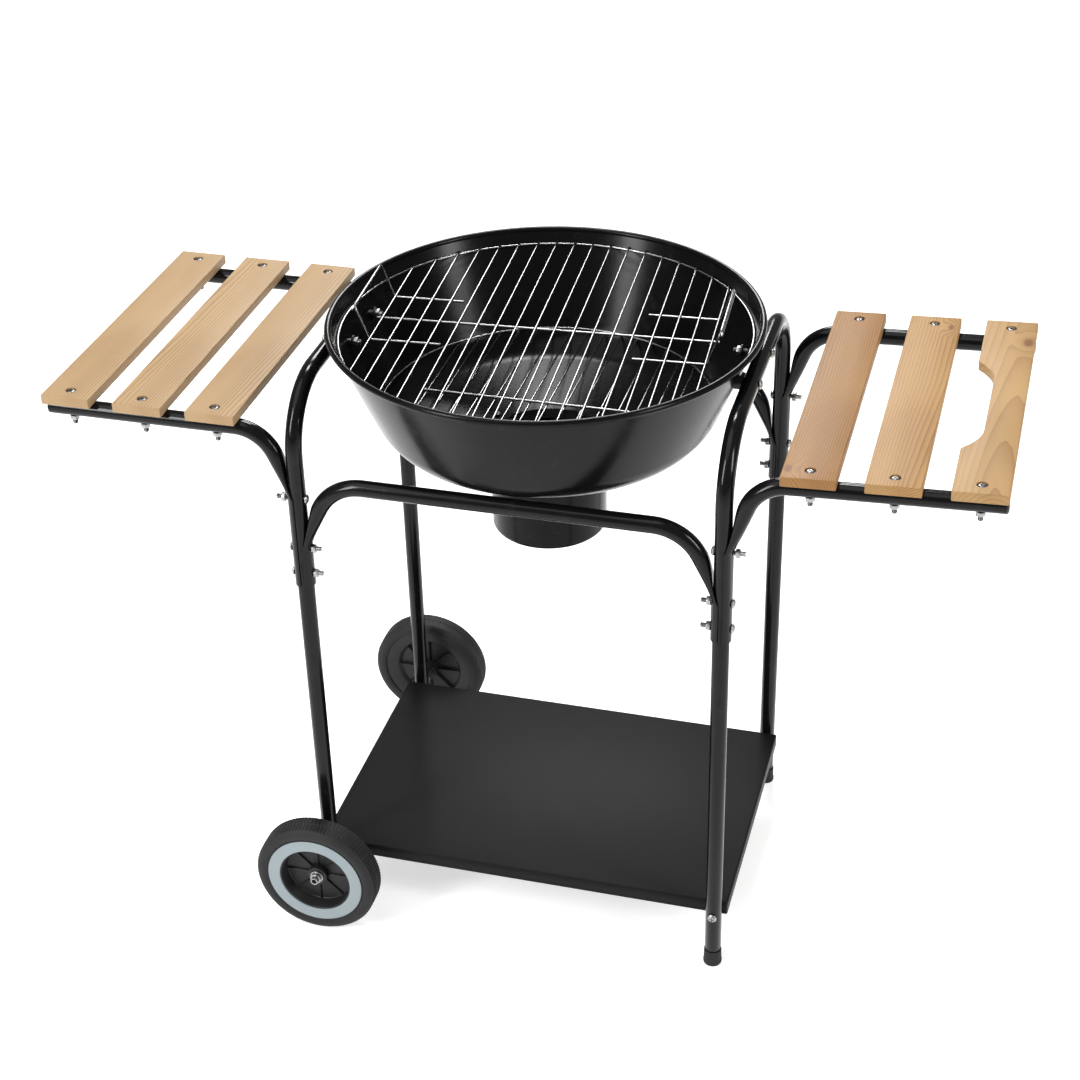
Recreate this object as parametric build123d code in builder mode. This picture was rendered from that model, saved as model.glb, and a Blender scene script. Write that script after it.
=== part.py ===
from build123d import *
import os
from math import cos, radians, sin, sqrt, tan

# Kettle charcoal grill on a tubular trolley.
# Millimetres, +Z up. The origin is on the floor, under the middle of the trolley.
# +X points to the side that stands on rubber feet, -X to the side with the wheels.

# ---------------------------------------------------------------- driving sizes
tube_radius = 10.0
tube_wall = 1.2
leg_x = 250.0  # legs stand at +-leg_x, +-leg_y
leg_y = 186.0
joint_gap = 0.05  # radial gap between pieces that nest

seam_height = 523.0  # the legs butt against the hoops here
hoop_height = 740.0  # centre line of the bars that carry the bowl
hoop_bend = 80.0
cross_height = 630.5
cross_bend = 60.0
cross_turn = 70.0  # degrees of round bend before the tube is flattened

arm_bend = 50.0
arm_turn = 74.0
half_length = 552.0  # the plugs in the arms' tips end here
plug_cap = 3.0
arm_bend_x = 320.0
arm_height = {-1: 694.0, 1: 700.0}  # centre line where the straight run starts
shelf_rise = {-1: 0.0, 1: 2.2}  # degrees, the shelf over the feet points slightly up

shell_bottom = 490.0
shell_thickness = 2.2
shell_lip = 2.5  # the half shells stop this far from the tube's middle plane
cross_shell_top = 553.0
arm_shell_top = 622.0
corner_bolt_heights = (506.0, 540.0)
upper_bolt_height = 607.0

bolt_radius = 3.0
hole_radius = 3.15
bolt_head_radius = 5.6
bolt_head_height = 3.2
nut_flat = 10.0
nut_height = 5.0
corner_bolt_length = 36.0
bowl_bolt_length = 45.0
tray_screw_length = 30.0

bowl_wall = 1.2
bowl_rim_radius = 251.0
bowl_rim_height = 776.0
bead_radius = 4.0
bowl_corner = (194.4, 643.0)
bowl_corner_radius = 60.0
bowl_floor = (80.0, 610.8)
bowl_hole_radius = 58.0
bowl_floor_bend = 12.0  # radius where the flat middle turns up into the sloping floor
bead_offset = 1.7  # from the rim line outwards to the middle of the rolled bead
bowl_bolt_y = 39.0
bowl_hole_x = 232.0  # middle of the drilling through the bowl's wall
bowl_hole_depth = 30.0
spacer_radius = 8.0
spacer_length = 14.0
bowl_washer_radius = 7.5
bowl_washer_height = 2.0

can_radius = 70.0
can_wall = 1.2
can_bottom = 500.0
can_height = 109.5
can_bead = 1.6
can_corner = 7.0

clip_angles = (30, 150, 270)
clip_radius = can_radius + 19.0  # from the axis to the rivets
clip_reach = 7.0  # from the rivets to the clips' outer ends
clip_width = 18.0
clip_sheet = 1.0
clip_drop = 16.0  # upright part beside the can's bead
clip_flare = 5.0
rivet_radius = 2.0
rivet_head_radius = 4.0
rivet_head_height = 1.4

wire = 1.2  # radius of the thin bars of both grates
thick_wire = 1.5  # radius of the rings, stays and handles
weld = 0.3  # depth that crossing wires sink into each other
cooking_height = 761.0
cooking_radius = 241.3
cooking_pitch = 23.0
cooking_bars = 18
grate_turn = 3.5  # degrees that the loose cooking grate is turned in the bowl
handle_y = 57.0
handle_inner = 112.0
handle_foot = 197.0
handle_top = 212.0
handle_rise = 42.0
charcoal_height = 664.0
charcoal_radius = 199.2
charcoal_pitch = 21.5
charcoal_bars = 15

slat_width = 60.0
slat_thickness = 12.0
slat_length = 410.0
slat_round = 1.2
slat_places = (92.0, 182.0, 272.0)  # slat centres, outwards from the legs
screw_sink = 3.4
counterbore_radius = 6.5
slat_screw_length = 40.0
notch_depth = 21.0
notch_floor = 118.0
notch_shoulder = 44.0
notch_shift = -8.0

tray_top = 88.0
tray_sheet = 1.2
tray_flange = 17.0
tray_x = 265.0
tray_y = leg_y - tube_radius - 0.3
tray_drilling = 6.0  # depth of the holes through the tray's flanges

axle_height = 79.0
axle_radius = 5.0
axle_half = 251.0
axle_wall = 1.6
washer_radius = 8.5
washer_height = 1.5
retainer_radius = 7.0
retainer_height = 4.0
running_gap = 0.3
wheel_radius = 79.0
wheel_inner_face = 215.0
wheel_outer_face = 250.0
rim_radius = 63.5
trim_outer = 62.4
trim_inner = 47.0
hub_inner = 212.0
hub_outer = 240.0
hub_radius = 13.0
bore_clearance = 0.08
trim_depth = 1.6
tyre_shoulder = 6.0  # rounding of the tread towards the side walls
web_face = 9.0  # how far the hub's web lies below the hub's outer end
web_thickness = 3.0
spoke_count = 8
spoke_width = 2.2
spoke_start = 9.0  # from the tyre's inner face to the spokes

foot_height = 22.0
foot_radius = 11.6
foot_floor = 3.0
left_leg_bottom = 56.0
plug_depth = 12.0  # how far the plugs reach into the tubes
leg_plug_cap = 2.5

sides = (-1, 1)
corners = [(x, y) for x in sides for y in sides]
side_names = {-1: "left", 1: "right"}
row_names = {-1: "front", 1: "rear"}

os.makedirs("parts", exist_ok=True)


def save(piece, node):
    """Label a finished piece and write it as its own STEP file."""
    piece.part.label = node
    export_step(piece.part, f"parts/{node}.step")


def ring(plane, outer, inner):
    """Return the flat ring between two radii, centred on a plane."""
    with BuildSketch(plane) as section:
        Circle(outer)
        Circle(inner, mode=Mode.SUBTRACT)
    return section.sketch


def disc(plane, radius):
    """Return a flat disc, centred on a plane."""
    with BuildSketch(plane) as section:
        Circle(radius)
    return section.sketch


def tube_section(plane):
    """Return the section of the frame's tube on a plane."""
    return ring(plane, tube_radius, tube_radius - tube_wall)


def along_x(x, y, z, direction):
    """Plane at a point whose normal points along +X or -X."""
    return Plane(origin=(x, y, z), z_dir=(direction, 0, 0))


def drill(plane, radius, depth):
    """Cut a round hole of a given depth, centred on a plane."""
    extrude(disc(plane, radius), amount=depth / 2, both=True, mode=Mode.SUBTRACT)


def half_shell(x, y, direction, bottom, top):
    """Add the crescent that hugs one side of a leg: the tube pressed flat and double."""
    inner = tube_radius + joint_gap
    with BuildSketch(Plane((x, y, bottom))) as crescent:
        Circle(inner + shell_thickness)
        Circle(inner, mode=Mode.SUBTRACT)
        with Locations((direction * (shell_lip + 2 * inner), 0)):
            Rectangle(4 * inner, 4 * inner, mode=Mode.INTERSECT)
    extrude(crescent.sketch, amount=top - bottom)


def flattened_neck(plane, x, y, direction, top):
    """Add the stretch where the round tube is pressed into its crescent."""
    middle = x + direction * (tube_radius + joint_gap + shell_thickness / 2)
    with BuildSketch(Plane(origin=(middle, y, top), x_dir=(1, 0, 0), z_dir=(0, 0, -1))) as pressed:
        Ellipse(shell_thickness, tube_radius)
    loft([disc(plane, tube_radius).face(), pressed.sketch.face()])


def clear_leg(x, y):
    """Cut away what would reach into the leg and the hoop above it."""
    low = shell_bottom - 5
    space = disc(Plane((x, y, low)), tube_radius + joint_gap)
    extrude(space, amount=hoop_height - hoop_bend - low, mode=Mode.SUBTRACT)


# ---------------------------------------------------------------- fasteners
with BuildPart() as nut:
    with BuildSketch():
        RegularPolygon(nut_flat / 2, 6, major_radius=False)
        Circle(bolt_radius + joint_gap, mode=Mode.SUBTRACT)
    extrude(amount=nut_height)


def bolts(places, length):
    """Make one pan-headed bolt of a given shank length on each plane, head outwards."""
    with BuildPart() as bolt:
        with BuildSketch(Plane.XZ):
            Polygon(
                (0, -length),
                (bolt_radius, -length),
                (bolt_radius, 0),
                (bolt_head_radius, 0),
                (bolt_head_radius, 0.4 * bolt_head_height),
                (0.7 * bolt_head_radius, bolt_head_height),
                (0, bolt_head_height),
                align=None,
            )
        revolve(axis=Axis.Z)
    with BuildPart() as group:
        with Locations(*[place.location for place in places]):
            add(bolt.part)
    return group


def nuts(places):
    """Make one hexagon nut on each plane."""
    with BuildPart() as group:
        with Locations(*[place.location for place in places]):
            add(nut.part)
    return group


shell_face = tube_radius + joint_gap + shell_thickness
corner_heads = []
corner_nut_places = []
for sx, sy in corners:
    for height in corner_bolt_heights:
        corner_heads.append(along_x(sx * (leg_x + shell_face), sy * leg_y, height, sx))
        corner_nut_places.append(along_x(sx * (leg_x - shell_face), sy * leg_y, height, -sx))
    corner_heads.append(along_x(sx * (leg_x - tube_radius), sy * leg_y, upper_bolt_height, -sx))
    nut_x = leg_x + tube_radius + joint_gap + 2 * shell_thickness
    corner_nut_places.append(along_x(sx * nut_x, sy * leg_y, upper_bolt_height, sx))
save(bolts(corner_heads, corner_bolt_length), "corner_bolts")
save(nuts(corner_nut_places), "corner_nuts")

# ---------------------------------------------------------------- hoops and legs
for sx in sides:
    with BuildPart() as hoop:
        with BuildLine(Plane.YZ.offset(sx * leg_x)) as hoop_path:
            FilletPolyline(
                (-leg_y, seam_height + 0.1),
                (-leg_y, hoop_height),
                (leg_y, hoop_height),
                (leg_y, seam_height + 0.1),
                radius=hoop_bend,
            )
        start = Plane(origin=hoop_path.line @ 0, z_dir=hoop_path.line % 0)
        sweep(tube_section(start), path=hoop_path.line)
        for sy in sides:
            for height in (corner_bolt_heights[1], upper_bolt_height):
                drill(along_x(sx * leg_x, sy * leg_y, height, 1), hole_radius, 3 * tube_radius)
            drill(along_x(sx * leg_x, sy * bowl_bolt_y, hoop_height, 1), hole_radius, 3 * tube_radius)
    save(hoop, f"{side_names[sx]}_hoop")

for sx, sy in corners:
    leg_bottom = foot_floor if sx > 0 else left_leg_bottom
    cross_hole = hole_radius if sx > 0 else axle_radius + joint_gap
    with BuildPart() as leg:
        foot = Plane((sx * leg_x, sy * leg_y, leg_bottom))
        extrude(tube_section(foot), amount=seam_height - leg_bottom)
        drill(along_x(sx * leg_x, sy * leg_y, corner_bolt_heights[0], 1), hole_radius, 3 * tube_radius)
        drill(Plane((sx * leg_x, sy * leg_y, axle_height), z_dir=(0, 1, 0)), cross_hole, 3 * tube_radius)
    save(leg, f"{row_names[sy]}_{side_names[sx]}_leg")

with BuildPart() as foot_caps:
    for sy in sides:
        with BuildSketch(Plane((leg_x, sy * leg_y, 0))):
            Circle(foot_radius)
        extrude(amount=foot_height, taper=1.5)
        with BuildSketch(Plane((leg_x, sy * leg_y, foot_floor))):
            Circle(tube_radius + joint_gap)
        extrude(amount=foot_height, mode=Mode.SUBTRACT)
save(foot_caps, "foot_caps")

with BuildPart() as leg_plugs:
    for sy in sides:
        with BuildSketch(Plane((-leg_x, sy * leg_y, left_leg_bottom - leg_plug_cap))):
            Circle(tube_radius)
        extrude(amount=leg_plug_cap)
        with BuildSketch(Plane((-leg_x, sy * leg_y, left_leg_bottom))):
            Circle(tube_radius - tube_wall - joint_gap)
        extrude(amount=plug_depth)
save(leg_plugs, "leg_plugs")

# ---------------------------------------------------------------- cross tubes
for sy in sides:
    with BuildPart() as cross_tube:
        bend_x = leg_x - 2 * tube_radius - cross_bend
        with BuildLine(Plane.XZ.offset(-sy * leg_y)) as cross_path:
            run = Line((-bend_x, cross_height), (bend_x, cross_height))
            JernArc(run @ 1, (1, 0), cross_bend, -cross_turn)
            JernArc(run @ 0, (-1, 0), cross_bend, cross_turn)
        ends = cross_path.vertices().sort_by(Axis.X)
        left_end = ends[0].center()
        right_end = ends[-1].center()
        down = {
            sx: (sx * cos(radians(cross_turn)), 0, -sin(radians(cross_turn))) for sx in sides
        }
        start = Plane(origin=left_end, z_dir=Vector(*down[-1]) * -1)
        sweep(tube_section(start), path=cross_path.wires()[0])
        for sx, end in ((-1, left_end), (1, right_end)):
            flattened_neck(Plane(origin=end, z_dir=down[sx]), sx * leg_x, sy * leg_y, -sx, cross_shell_top)
            half_shell(sx * leg_x, sy * leg_y, -sx, shell_bottom, cross_shell_top + 0.5)
            clear_leg(sx * leg_x, sy * leg_y)
            for height in corner_bolt_heights:
                drill(along_x(sx * leg_x, sy * leg_y, height, 1), hole_radius, 6 * tube_radius)
    save(cross_tube, f"{row_names[sy]}_cross_tube")

# ---------------------------------------------------------------- shelf arms
def arm_tip(sx):
    """Return the centre of an arm's open end, as X and Z."""
    rise = radians(shelf_rise[sx])
    reach = half_length - plug_cap * cos(rise) - tube_radius * sin(rise)
    return sx * reach, arm_height[sx] + (reach - arm_bend_x) * tan(rise)


def shelf_plane(sx):
    """Plane along the top of a shelf's arms, with its origin above the legs."""
    rise = radians(shelf_rise[sx])
    height = arm_height[sx] - (arm_bend_x - leg_x) * tan(rise) + tube_radius / cos(rise)
    return Plane(
        origin=(sx * leg_x, 0, height),
        x_dir=(cos(rise), 0, sx * sin(rise)),
        z_dir=(-sx * sin(rise), 0, cos(rise)),
    )


for sx, sy in corners:
    rise = radians(shelf_rise[sx])
    with BuildPart() as arm:
        with BuildLine(Plane.XZ.offset(-sy * leg_y)) as arm_path:
            bend_start = (sx * arm_bend_x, arm_height[sx])
            tip_x, tip_z = arm_tip(sx)
            run = Line((tip_x, tip_z), bend_start)
            JernArc(run @ 1, run % 1, arm_bend, sx * (arm_turn + shelf_rise[sx]))
        arm_wire = arm_path.wires()[0]
        tip = (tip_x, sy * leg_y, tip_z)
        inward = Vector(-sx * cos(rise), 0, -sin(rise))
        sweep(tube_section(Plane(origin=tip, z_dir=inward)), path=arm_wire)
        slope = radians(arm_turn)
        neck_direction = Vector(-sx * cos(slope), 0, -sin(slope))
        neck_start = arm_path.vertices().sort_by(Axis.Z)[0].center()
        neck_plane = Plane(origin=neck_start, z_dir=neck_direction)
        flattened_neck(neck_plane, sx * leg_x, sy * leg_y, sx, arm_shell_top)
        half_shell(sx * leg_x, sy * leg_y, sx, shell_bottom, arm_shell_top + 0.5)
        clear_leg(sx * leg_x, sy * leg_y)
        for height in (*corner_bolt_heights, upper_bolt_height):
            drill(along_x(sx * leg_x, sy * leg_y, height, 1), hole_radius, 6 * tube_radius)
        shelf = shelf_plane(sx)
        for place in slat_places:
            middle = shelf.from_local_coords((sx * place, sy * leg_y, -tube_radius))
            drill(Plane(middle, z_dir=shelf.z_dir), hole_radius, 3 * tube_radius)
    save(arm, f"{row_names[sy]}_{side_names[sx]}_arm")

with BuildPart() as arm_plugs:
    for sx, sy in corners:
        rise = radians(shelf_rise[sx])
        tip_x, tip_z = arm_tip(sx)
        tip = (tip_x, sy * leg_y, tip_z)
        with BuildSketch(Plane(origin=tip, z_dir=(sx * cos(rise), 0, sin(rise)))):
            Circle(tube_radius)
        extrude(amount=plug_cap)
        with BuildSketch(Plane(origin=tip, z_dir=(-sx * cos(rise), 0, -sin(rise)))):
            Circle(tube_radius - tube_wall - joint_gap)
        extrude(amount=plug_depth)
save(arm_plugs, "arm_plugs")

# ---------------------------------------------------------------- slats
slat_screw_planes = []
slat_nut_planes = []
for sx in sides:
    plane = shelf_plane(sx)
    for place, position in zip(slat_places, ("inner", "middle", "outer")):
        notched = sx > 0 and position == "outer"
        with BuildPart() as slat:
            with BuildSketch(plane):
                with Locations((sx * place, 0)):
                    Rectangle(slat_width, slat_length)
                if notched:
                    edge = sx * place - slat_width / 2
                    floor_x = edge + notch_depth
                    low = notch_shift - notch_floor / 2
                    high = notch_shift + notch_floor / 2
                    with BuildLine():
                        Line((edge, low - notch_shoulder), (edge, high + notch_shoulder))
                        Spline((edge, high + notch_shoulder), (floor_x, high), tangents=[(0.8, -1), (0, -1)])
                        Line((floor_x, high), (floor_x, low))
                        Spline((floor_x, low), (edge, low - notch_shoulder), tangents=[(0, -1), (-0.8, -1)])
                    make_face(mode=Mode.SUBTRACT)
            extrude(amount=slat_thickness)
            long_edges = slat.edges().filter_by(Axis.Y).filter_by(lambda edge: edge.length > slat_length / 2)
            fillet(long_edges, slat_round)
            for sy in sides:
                top = plane.from_local_coords((sx * place, sy * leg_y, slat_thickness))
                hole = Plane(top, z_dir=plane.z_dir)
                with BuildSketch(hole):
                    Circle(hole_radius)
                extrude(amount=-2 * slat_thickness, mode=Mode.SUBTRACT)
                with BuildSketch(hole):
                    Circle(counterbore_radius)
                extrude(amount=-screw_sink, mode=Mode.SUBTRACT)
        save(slat, f"{side_names[sx]}_slat_{position}")
        for sy in sides:
            seat = (sx * place, sy * leg_y, slat_thickness - screw_sink)
            slat_screw_planes.append(Plane(plane.from_local_coords(seat), z_dir=plane.z_dir))
            under = (sx * place, sy * leg_y, -2 * tube_radius)
            slat_nut_planes.append(Plane(plane.from_local_coords(under), z_dir=plane.z_dir * -1))
save(bolts(slat_screw_planes, slat_screw_length), "slat_screws")
save(nuts(slat_nut_planes), "slat_nuts")

# ---------------------------------------------------------------- bowl
with BuildPart() as bowl:
    with BuildSketch(Plane.XZ):
        with BuildLine() as wall_line:
            FilletPolyline(
                (bowl_hole_radius, bowl_floor[1]),
                bowl_floor,
                bowl_corner,
                (bowl_rim_radius, bowl_rim_height),
                radius=(bowl_floor_bend, bowl_corner_radius),
            )
            offset(amount=bowl_wall, side=Side.LEFT)
        make_face()
    revolve(axis=Axis.Z)
    with BuildSketch(Plane.XZ):
        with Locations((bowl_rim_radius + bead_offset, bowl_rim_height)):
            Circle(bead_radius)
    revolve(axis=Axis.Z)
    for sx in sides:
        for sy in sides:
            middle = along_x(sx * bowl_hole_x, sy * bowl_bolt_y, hoop_height, 1)
            drill(middle, hole_radius, bowl_hole_depth)
    with PolarLocations(clip_radius, len(clip_angles), start_angle=clip_angles[0]):
        with Locations((0, 0, bowl_floor[1])):
            Cylinder(rivet_radius + 0.1, bowl_hole_depth, mode=Mode.SUBTRACT)
save(bowl, "bowl")

bowl_slope = (bowl_rim_radius - bowl_corner[0]) / (bowl_rim_height - bowl_corner[1])
floor_rise = (bowl_corner[1] - bowl_floor[1]) / (bowl_corner[0] - bowl_floor[0])


def bowl_wall_x(height, y):
    """Distance in X from the axis to the bowl's outer face."""
    radius = bowl_rim_radius - bowl_slope * (bowl_rim_height - height)
    return sqrt(radius**2 - y**2)


# Everything outside the bowl's outer face, used to trim what rests against the bowl.
core_bottom = hoop_height - 40
core_bottom_radius = bowl_rim_radius - bowl_slope * (bowl_rim_height - core_bottom) + 0.1
with BuildPart() as bowl_core:
    with BuildSketch(Plane.XZ):
        Polygon(
            (0, core_bottom),
            (core_bottom_radius, core_bottom),
            (bowl_rim_radius + 0.1, bowl_rim_height),
            (0, bowl_rim_height),
            align=None,
        )
    revolve(axis=Axis.Z)

with BuildPart() as bowl_spacers:
    for sx, sy in corners:
        face_x = sx * (leg_x - tube_radius - joint_gap)
        with BuildSketch(along_x(face_x, sy * bowl_bolt_y, hoop_height, -sx)):
            Circle(spacer_radius)
            Circle(hole_radius, mode=Mode.SUBTRACT)
        extrude(amount=spacer_length)
    add(bowl_core.part, mode=Mode.SUBTRACT)
save(bowl_spacers, "bowl_spacers")

bowl_bolt_heads = [
    along_x(sx * (leg_x + tube_radius), sy * bowl_bolt_y, hoop_height, sx) for sx, sy in corners
]
save(bolts(bowl_bolt_heads, bowl_bolt_length), "bowl_bolts")

# The washers stand clear of the sloping wall at their lowest, outermost point.
washer_low = hoop_height - spacer_radius
washer_far = bowl_bolt_y + spacer_radius
wall_across = bowl_wall * sqrt(1 + bowl_slope**2)
inner_wall_x = bowl_wall_x(washer_low, washer_far) - wall_across - 0.2
with BuildPart() as bowl_washers:
    for sx, sy in corners:
        with BuildSketch(along_x(sx * inner_wall_x, sy * bowl_bolt_y, hoop_height, -sx)):
            Circle(bowl_washer_radius)
            Circle(bolt_radius + joint_gap, mode=Mode.SUBTRACT)
        extrude(amount=bowl_washer_height)
save(bowl_washers, "bowl_washers")
nut_x = inner_wall_x - bowl_washer_height
bowl_nut_places = [along_x(sx * nut_x, sy * bowl_bolt_y, hoop_height, -sx) for sx, sy in corners]
save(nuts(bowl_nut_places), "bowl_nuts")

# ---------------------------------------------------------------- ash can and its clips
with BuildPart() as ash_can:
    with BuildSketch(Plane.XZ):
        with BuildLine():
            FilletPolyline(
                (0, can_bottom),
                (can_radius, can_bottom),
                (can_radius, can_bottom + can_height),
                radius=can_corner,
            )
            offset(amount=can_wall, side=Side.LEFT)
        make_face()
    revolve(axis=Axis.Z)
    with BuildSketch(Plane.XZ):
        with Locations((can_radius, can_bottom + can_height - can_bead)):
            Circle(can_bead)
    revolve(axis=Axis.Z)
save(ash_can, "ash_can")

clip_top = bowl_floor[1] - 0.1
clip_end = clip_radius + clip_reach
bead_face = can_radius + can_bead + 0.35
with BuildPart() as can_clips:
    for angle in clip_angles:
        outward = (cos(radians(angle)), sin(radians(angle)), 0)
        sideways = (sin(radians(angle)), -cos(radians(angle)), 0)
        with BuildSketch(Plane(origin=(0, 0, 0), x_dir=outward, z_dir=sideways)):
            with BuildLine():
                Polyline(
                    (clip_end, clip_top + floor_rise * (clip_end - bowl_floor[0])),
                    (bowl_floor[0], clip_top),
                    (bead_face, clip_top),
                    (bead_face, clip_top - clip_drop),
                    (bead_face + clip_flare, clip_top - clip_drop - clip_flare),
                )
                offset(amount=clip_sheet, side=Side.LEFT)
            make_face()
        extrude(amount=clip_width / 2, both=True)
save(can_clips, "can_clips")

rivet_seat = clip_top + floor_rise * (clip_radius - bowl_floor[0]) + bowl_wall + 1.5
with BuildPart() as clip_rivets:
    with PolarLocations(clip_radius, len(clip_angles), start_angle=clip_angles[0]):
        with Locations((0, 0, rivet_seat + rivet_head_height / 2)):
            Cylinder(rivet_head_radius, rivet_head_height)
save(clip_rivets, "clip_rivets")

# ---------------------------------------------------------------- grates
def grate_bars(height, count, pitch, reach, turn):
    """Add the parallel bars of a grate, which run front to back."""
    for index in range(count):
        x = (index - (count - 1) / 2) * pitch
        half = sqrt(reach**2 - x**2)
        start = Plane.XY.rotated((0, 0, turn)).from_local_coords((x, -half, height))
        along = Plane.XY.rotated((0, 0, turn)).from_local_coords((0, 1, 0))
        extrude(disc(Plane(origin=start, z_dir=along), wire), amount=2 * half)


def grate_ring(height, radius):
    """Add the round outer wire of a grate."""
    section = disc(Plane(origin=(radius, 0, height), z_dir=(0, -1, 0)), thick_wire)
    revolve(section, axis=Axis.Z)


def stay(height, half, turn):
    """Add the wire that ties the bars together across the middle."""
    start = Plane.XY.rotated((0, 0, turn)).from_local_coords((-half, 0, height))
    along = Plane.XY.rotated((0, 0, turn)).from_local_coords((1, 0, 0))
    extrude(disc(Plane(origin=start, z_dir=along), thick_wire), amount=2 * half)


bar_step = wire + thick_wire - weld
with BuildPart() as charcoal_grate:
    grate_ring(charcoal_height, charcoal_radius)
    grate_bars(charcoal_height - bar_step, charcoal_bars, charcoal_pitch, charcoal_radius - 0.2, 0)
    stay(charcoal_height, (charcoal_bars - 1) / 2 * charcoal_pitch + 6, 0)
save(charcoal_grate, "charcoal_grate")

with BuildPart() as cooking_grate:
    grate_ring(cooking_height, cooking_radius)
    grate_bars(cooking_height + bar_step, cooking_bars, cooking_pitch, cooking_radius + 1.5, grate_turn)
    stay(cooking_height, (cooking_bars - 1) / 2 * cooking_pitch + 8, grate_turn)
    turned = Plane.XY.offset(cooking_height).rotated((0, 0, grate_turn))
    for sx in sides:
        with BuildLine(turned) as handle_path:
            FilletPolyline(
                (sx * handle_inner, handle_y, 0),
                (sx * handle_foot, handle_y, 0),
                (sx * handle_top, handle_y, handle_rise),
                (sx * handle_top, -handle_y, handle_rise),
                (sx * handle_foot, -handle_y, 0),
                (sx * handle_inner, -handle_y, 0),
                radius=6,
            )
        with BuildSketch(Plane(origin=handle_path.line @ 0, z_dir=handle_path.line % 0)):
            Circle(thick_wire)
        sweep(path=handle_path.line)
save(cooking_grate, "cooking_grate")

# ---------------------------------------------------------------- tray
with BuildPart() as tray:
    with BuildSketch(Plane.XY.offset(tray_top - tray_flange)):
        Rectangle(2 * tray_x, 2 * tray_y)
    extrude(amount=tray_flange)
    with BuildSketch(Plane.XY.offset(tray_top - tray_flange)):
        Rectangle(2 * (tray_x - tray_sheet), 2 * (tray_y - tray_sheet))
    extrude(amount=tray_flange - tray_sheet, mode=Mode.SUBTRACT)
    fillet(tray.edges().filter_by(Axis.Z).group_by(SortBy.LENGTH)[-1], 0.5)
    for sy in sides:
        for x, radius in ((-leg_x, axle_radius + joint_gap), (leg_x, hole_radius)):
            drill(Plane((x, sy * tray_y, axle_height), z_dir=(0, 1, 0)), radius, tray_drilling)
save(tray, "tray")

tray_heads = [Plane((leg_x, sy * (leg_y + tube_radius), axle_height), z_dir=(0, sy, 0)) for sy in sides]
save(bolts(tray_heads, tray_screw_length), "tray_screws")
nut_y = tray_y - tray_sheet - joint_gap
tray_nut_places = [Plane((leg_x, sy * nut_y, axle_height), z_dir=(0, -sy, 0)) for sy in sides]
save(nuts(tray_nut_places), "tray_nuts")

# ---------------------------------------------------------------- axle and wheels
with BuildPart() as axle:
    with BuildSketch(Plane((-leg_x, -axle_half, axle_height), z_dir=(0, 1, 0))):
        Circle(axle_radius)
        Circle(axle_radius - axle_wall, mode=Mode.SUBTRACT)
    extrude(amount=2 * axle_half)
save(axle, "axle")


def axle_collar(row, start, end, radius):
    """Add a ring that sits on the axle between two distances from the middle."""
    plane = Plane((-leg_x, row * start, axle_height), z_dir=(0, row, 0))
    extrude(ring(plane, radius, axle_radius + joint_gap), amount=end - start)


spacer_start = leg_y + tube_radius + joint_gap
washer_start = hub_outer + running_gap
retainer_start = washer_start + washer_height + joint_gap
with BuildPart() as axle_spacers:
    for sy in sides:
        axle_collar(sy, spacer_start, hub_inner - running_gap, washer_radius)
save(axle_spacers, "axle_spacers")

with BuildPart() as axle_washers:
    for sy in sides:
        axle_collar(sy, washer_start, washer_start + washer_height, washer_radius)
save(axle_washers, "axle_washers")

with BuildPart() as axle_retainers:
    for sy in sides:
        axle_collar(sy, retainer_start, retainer_start + retainer_height, retainer_radius)
save(axle_retainers, "axle_retainers")


def wheel_section(sy, outline):
    """Revolve an outline of (distance from the axle, distance from the middle) points."""
    plane = Plane(origin=(-leg_x, 0, axle_height), x_dir=(1, 0, 0), z_dir=(0, 0, 1))
    with BuildSketch(plane) as section:
        Polygon(*[(radius, sy * place) for radius, place in outline], align=None)
    revolve(section.sketch, axis=Axis((-leg_x, 0, axle_height), (0, 1, 0)))


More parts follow.
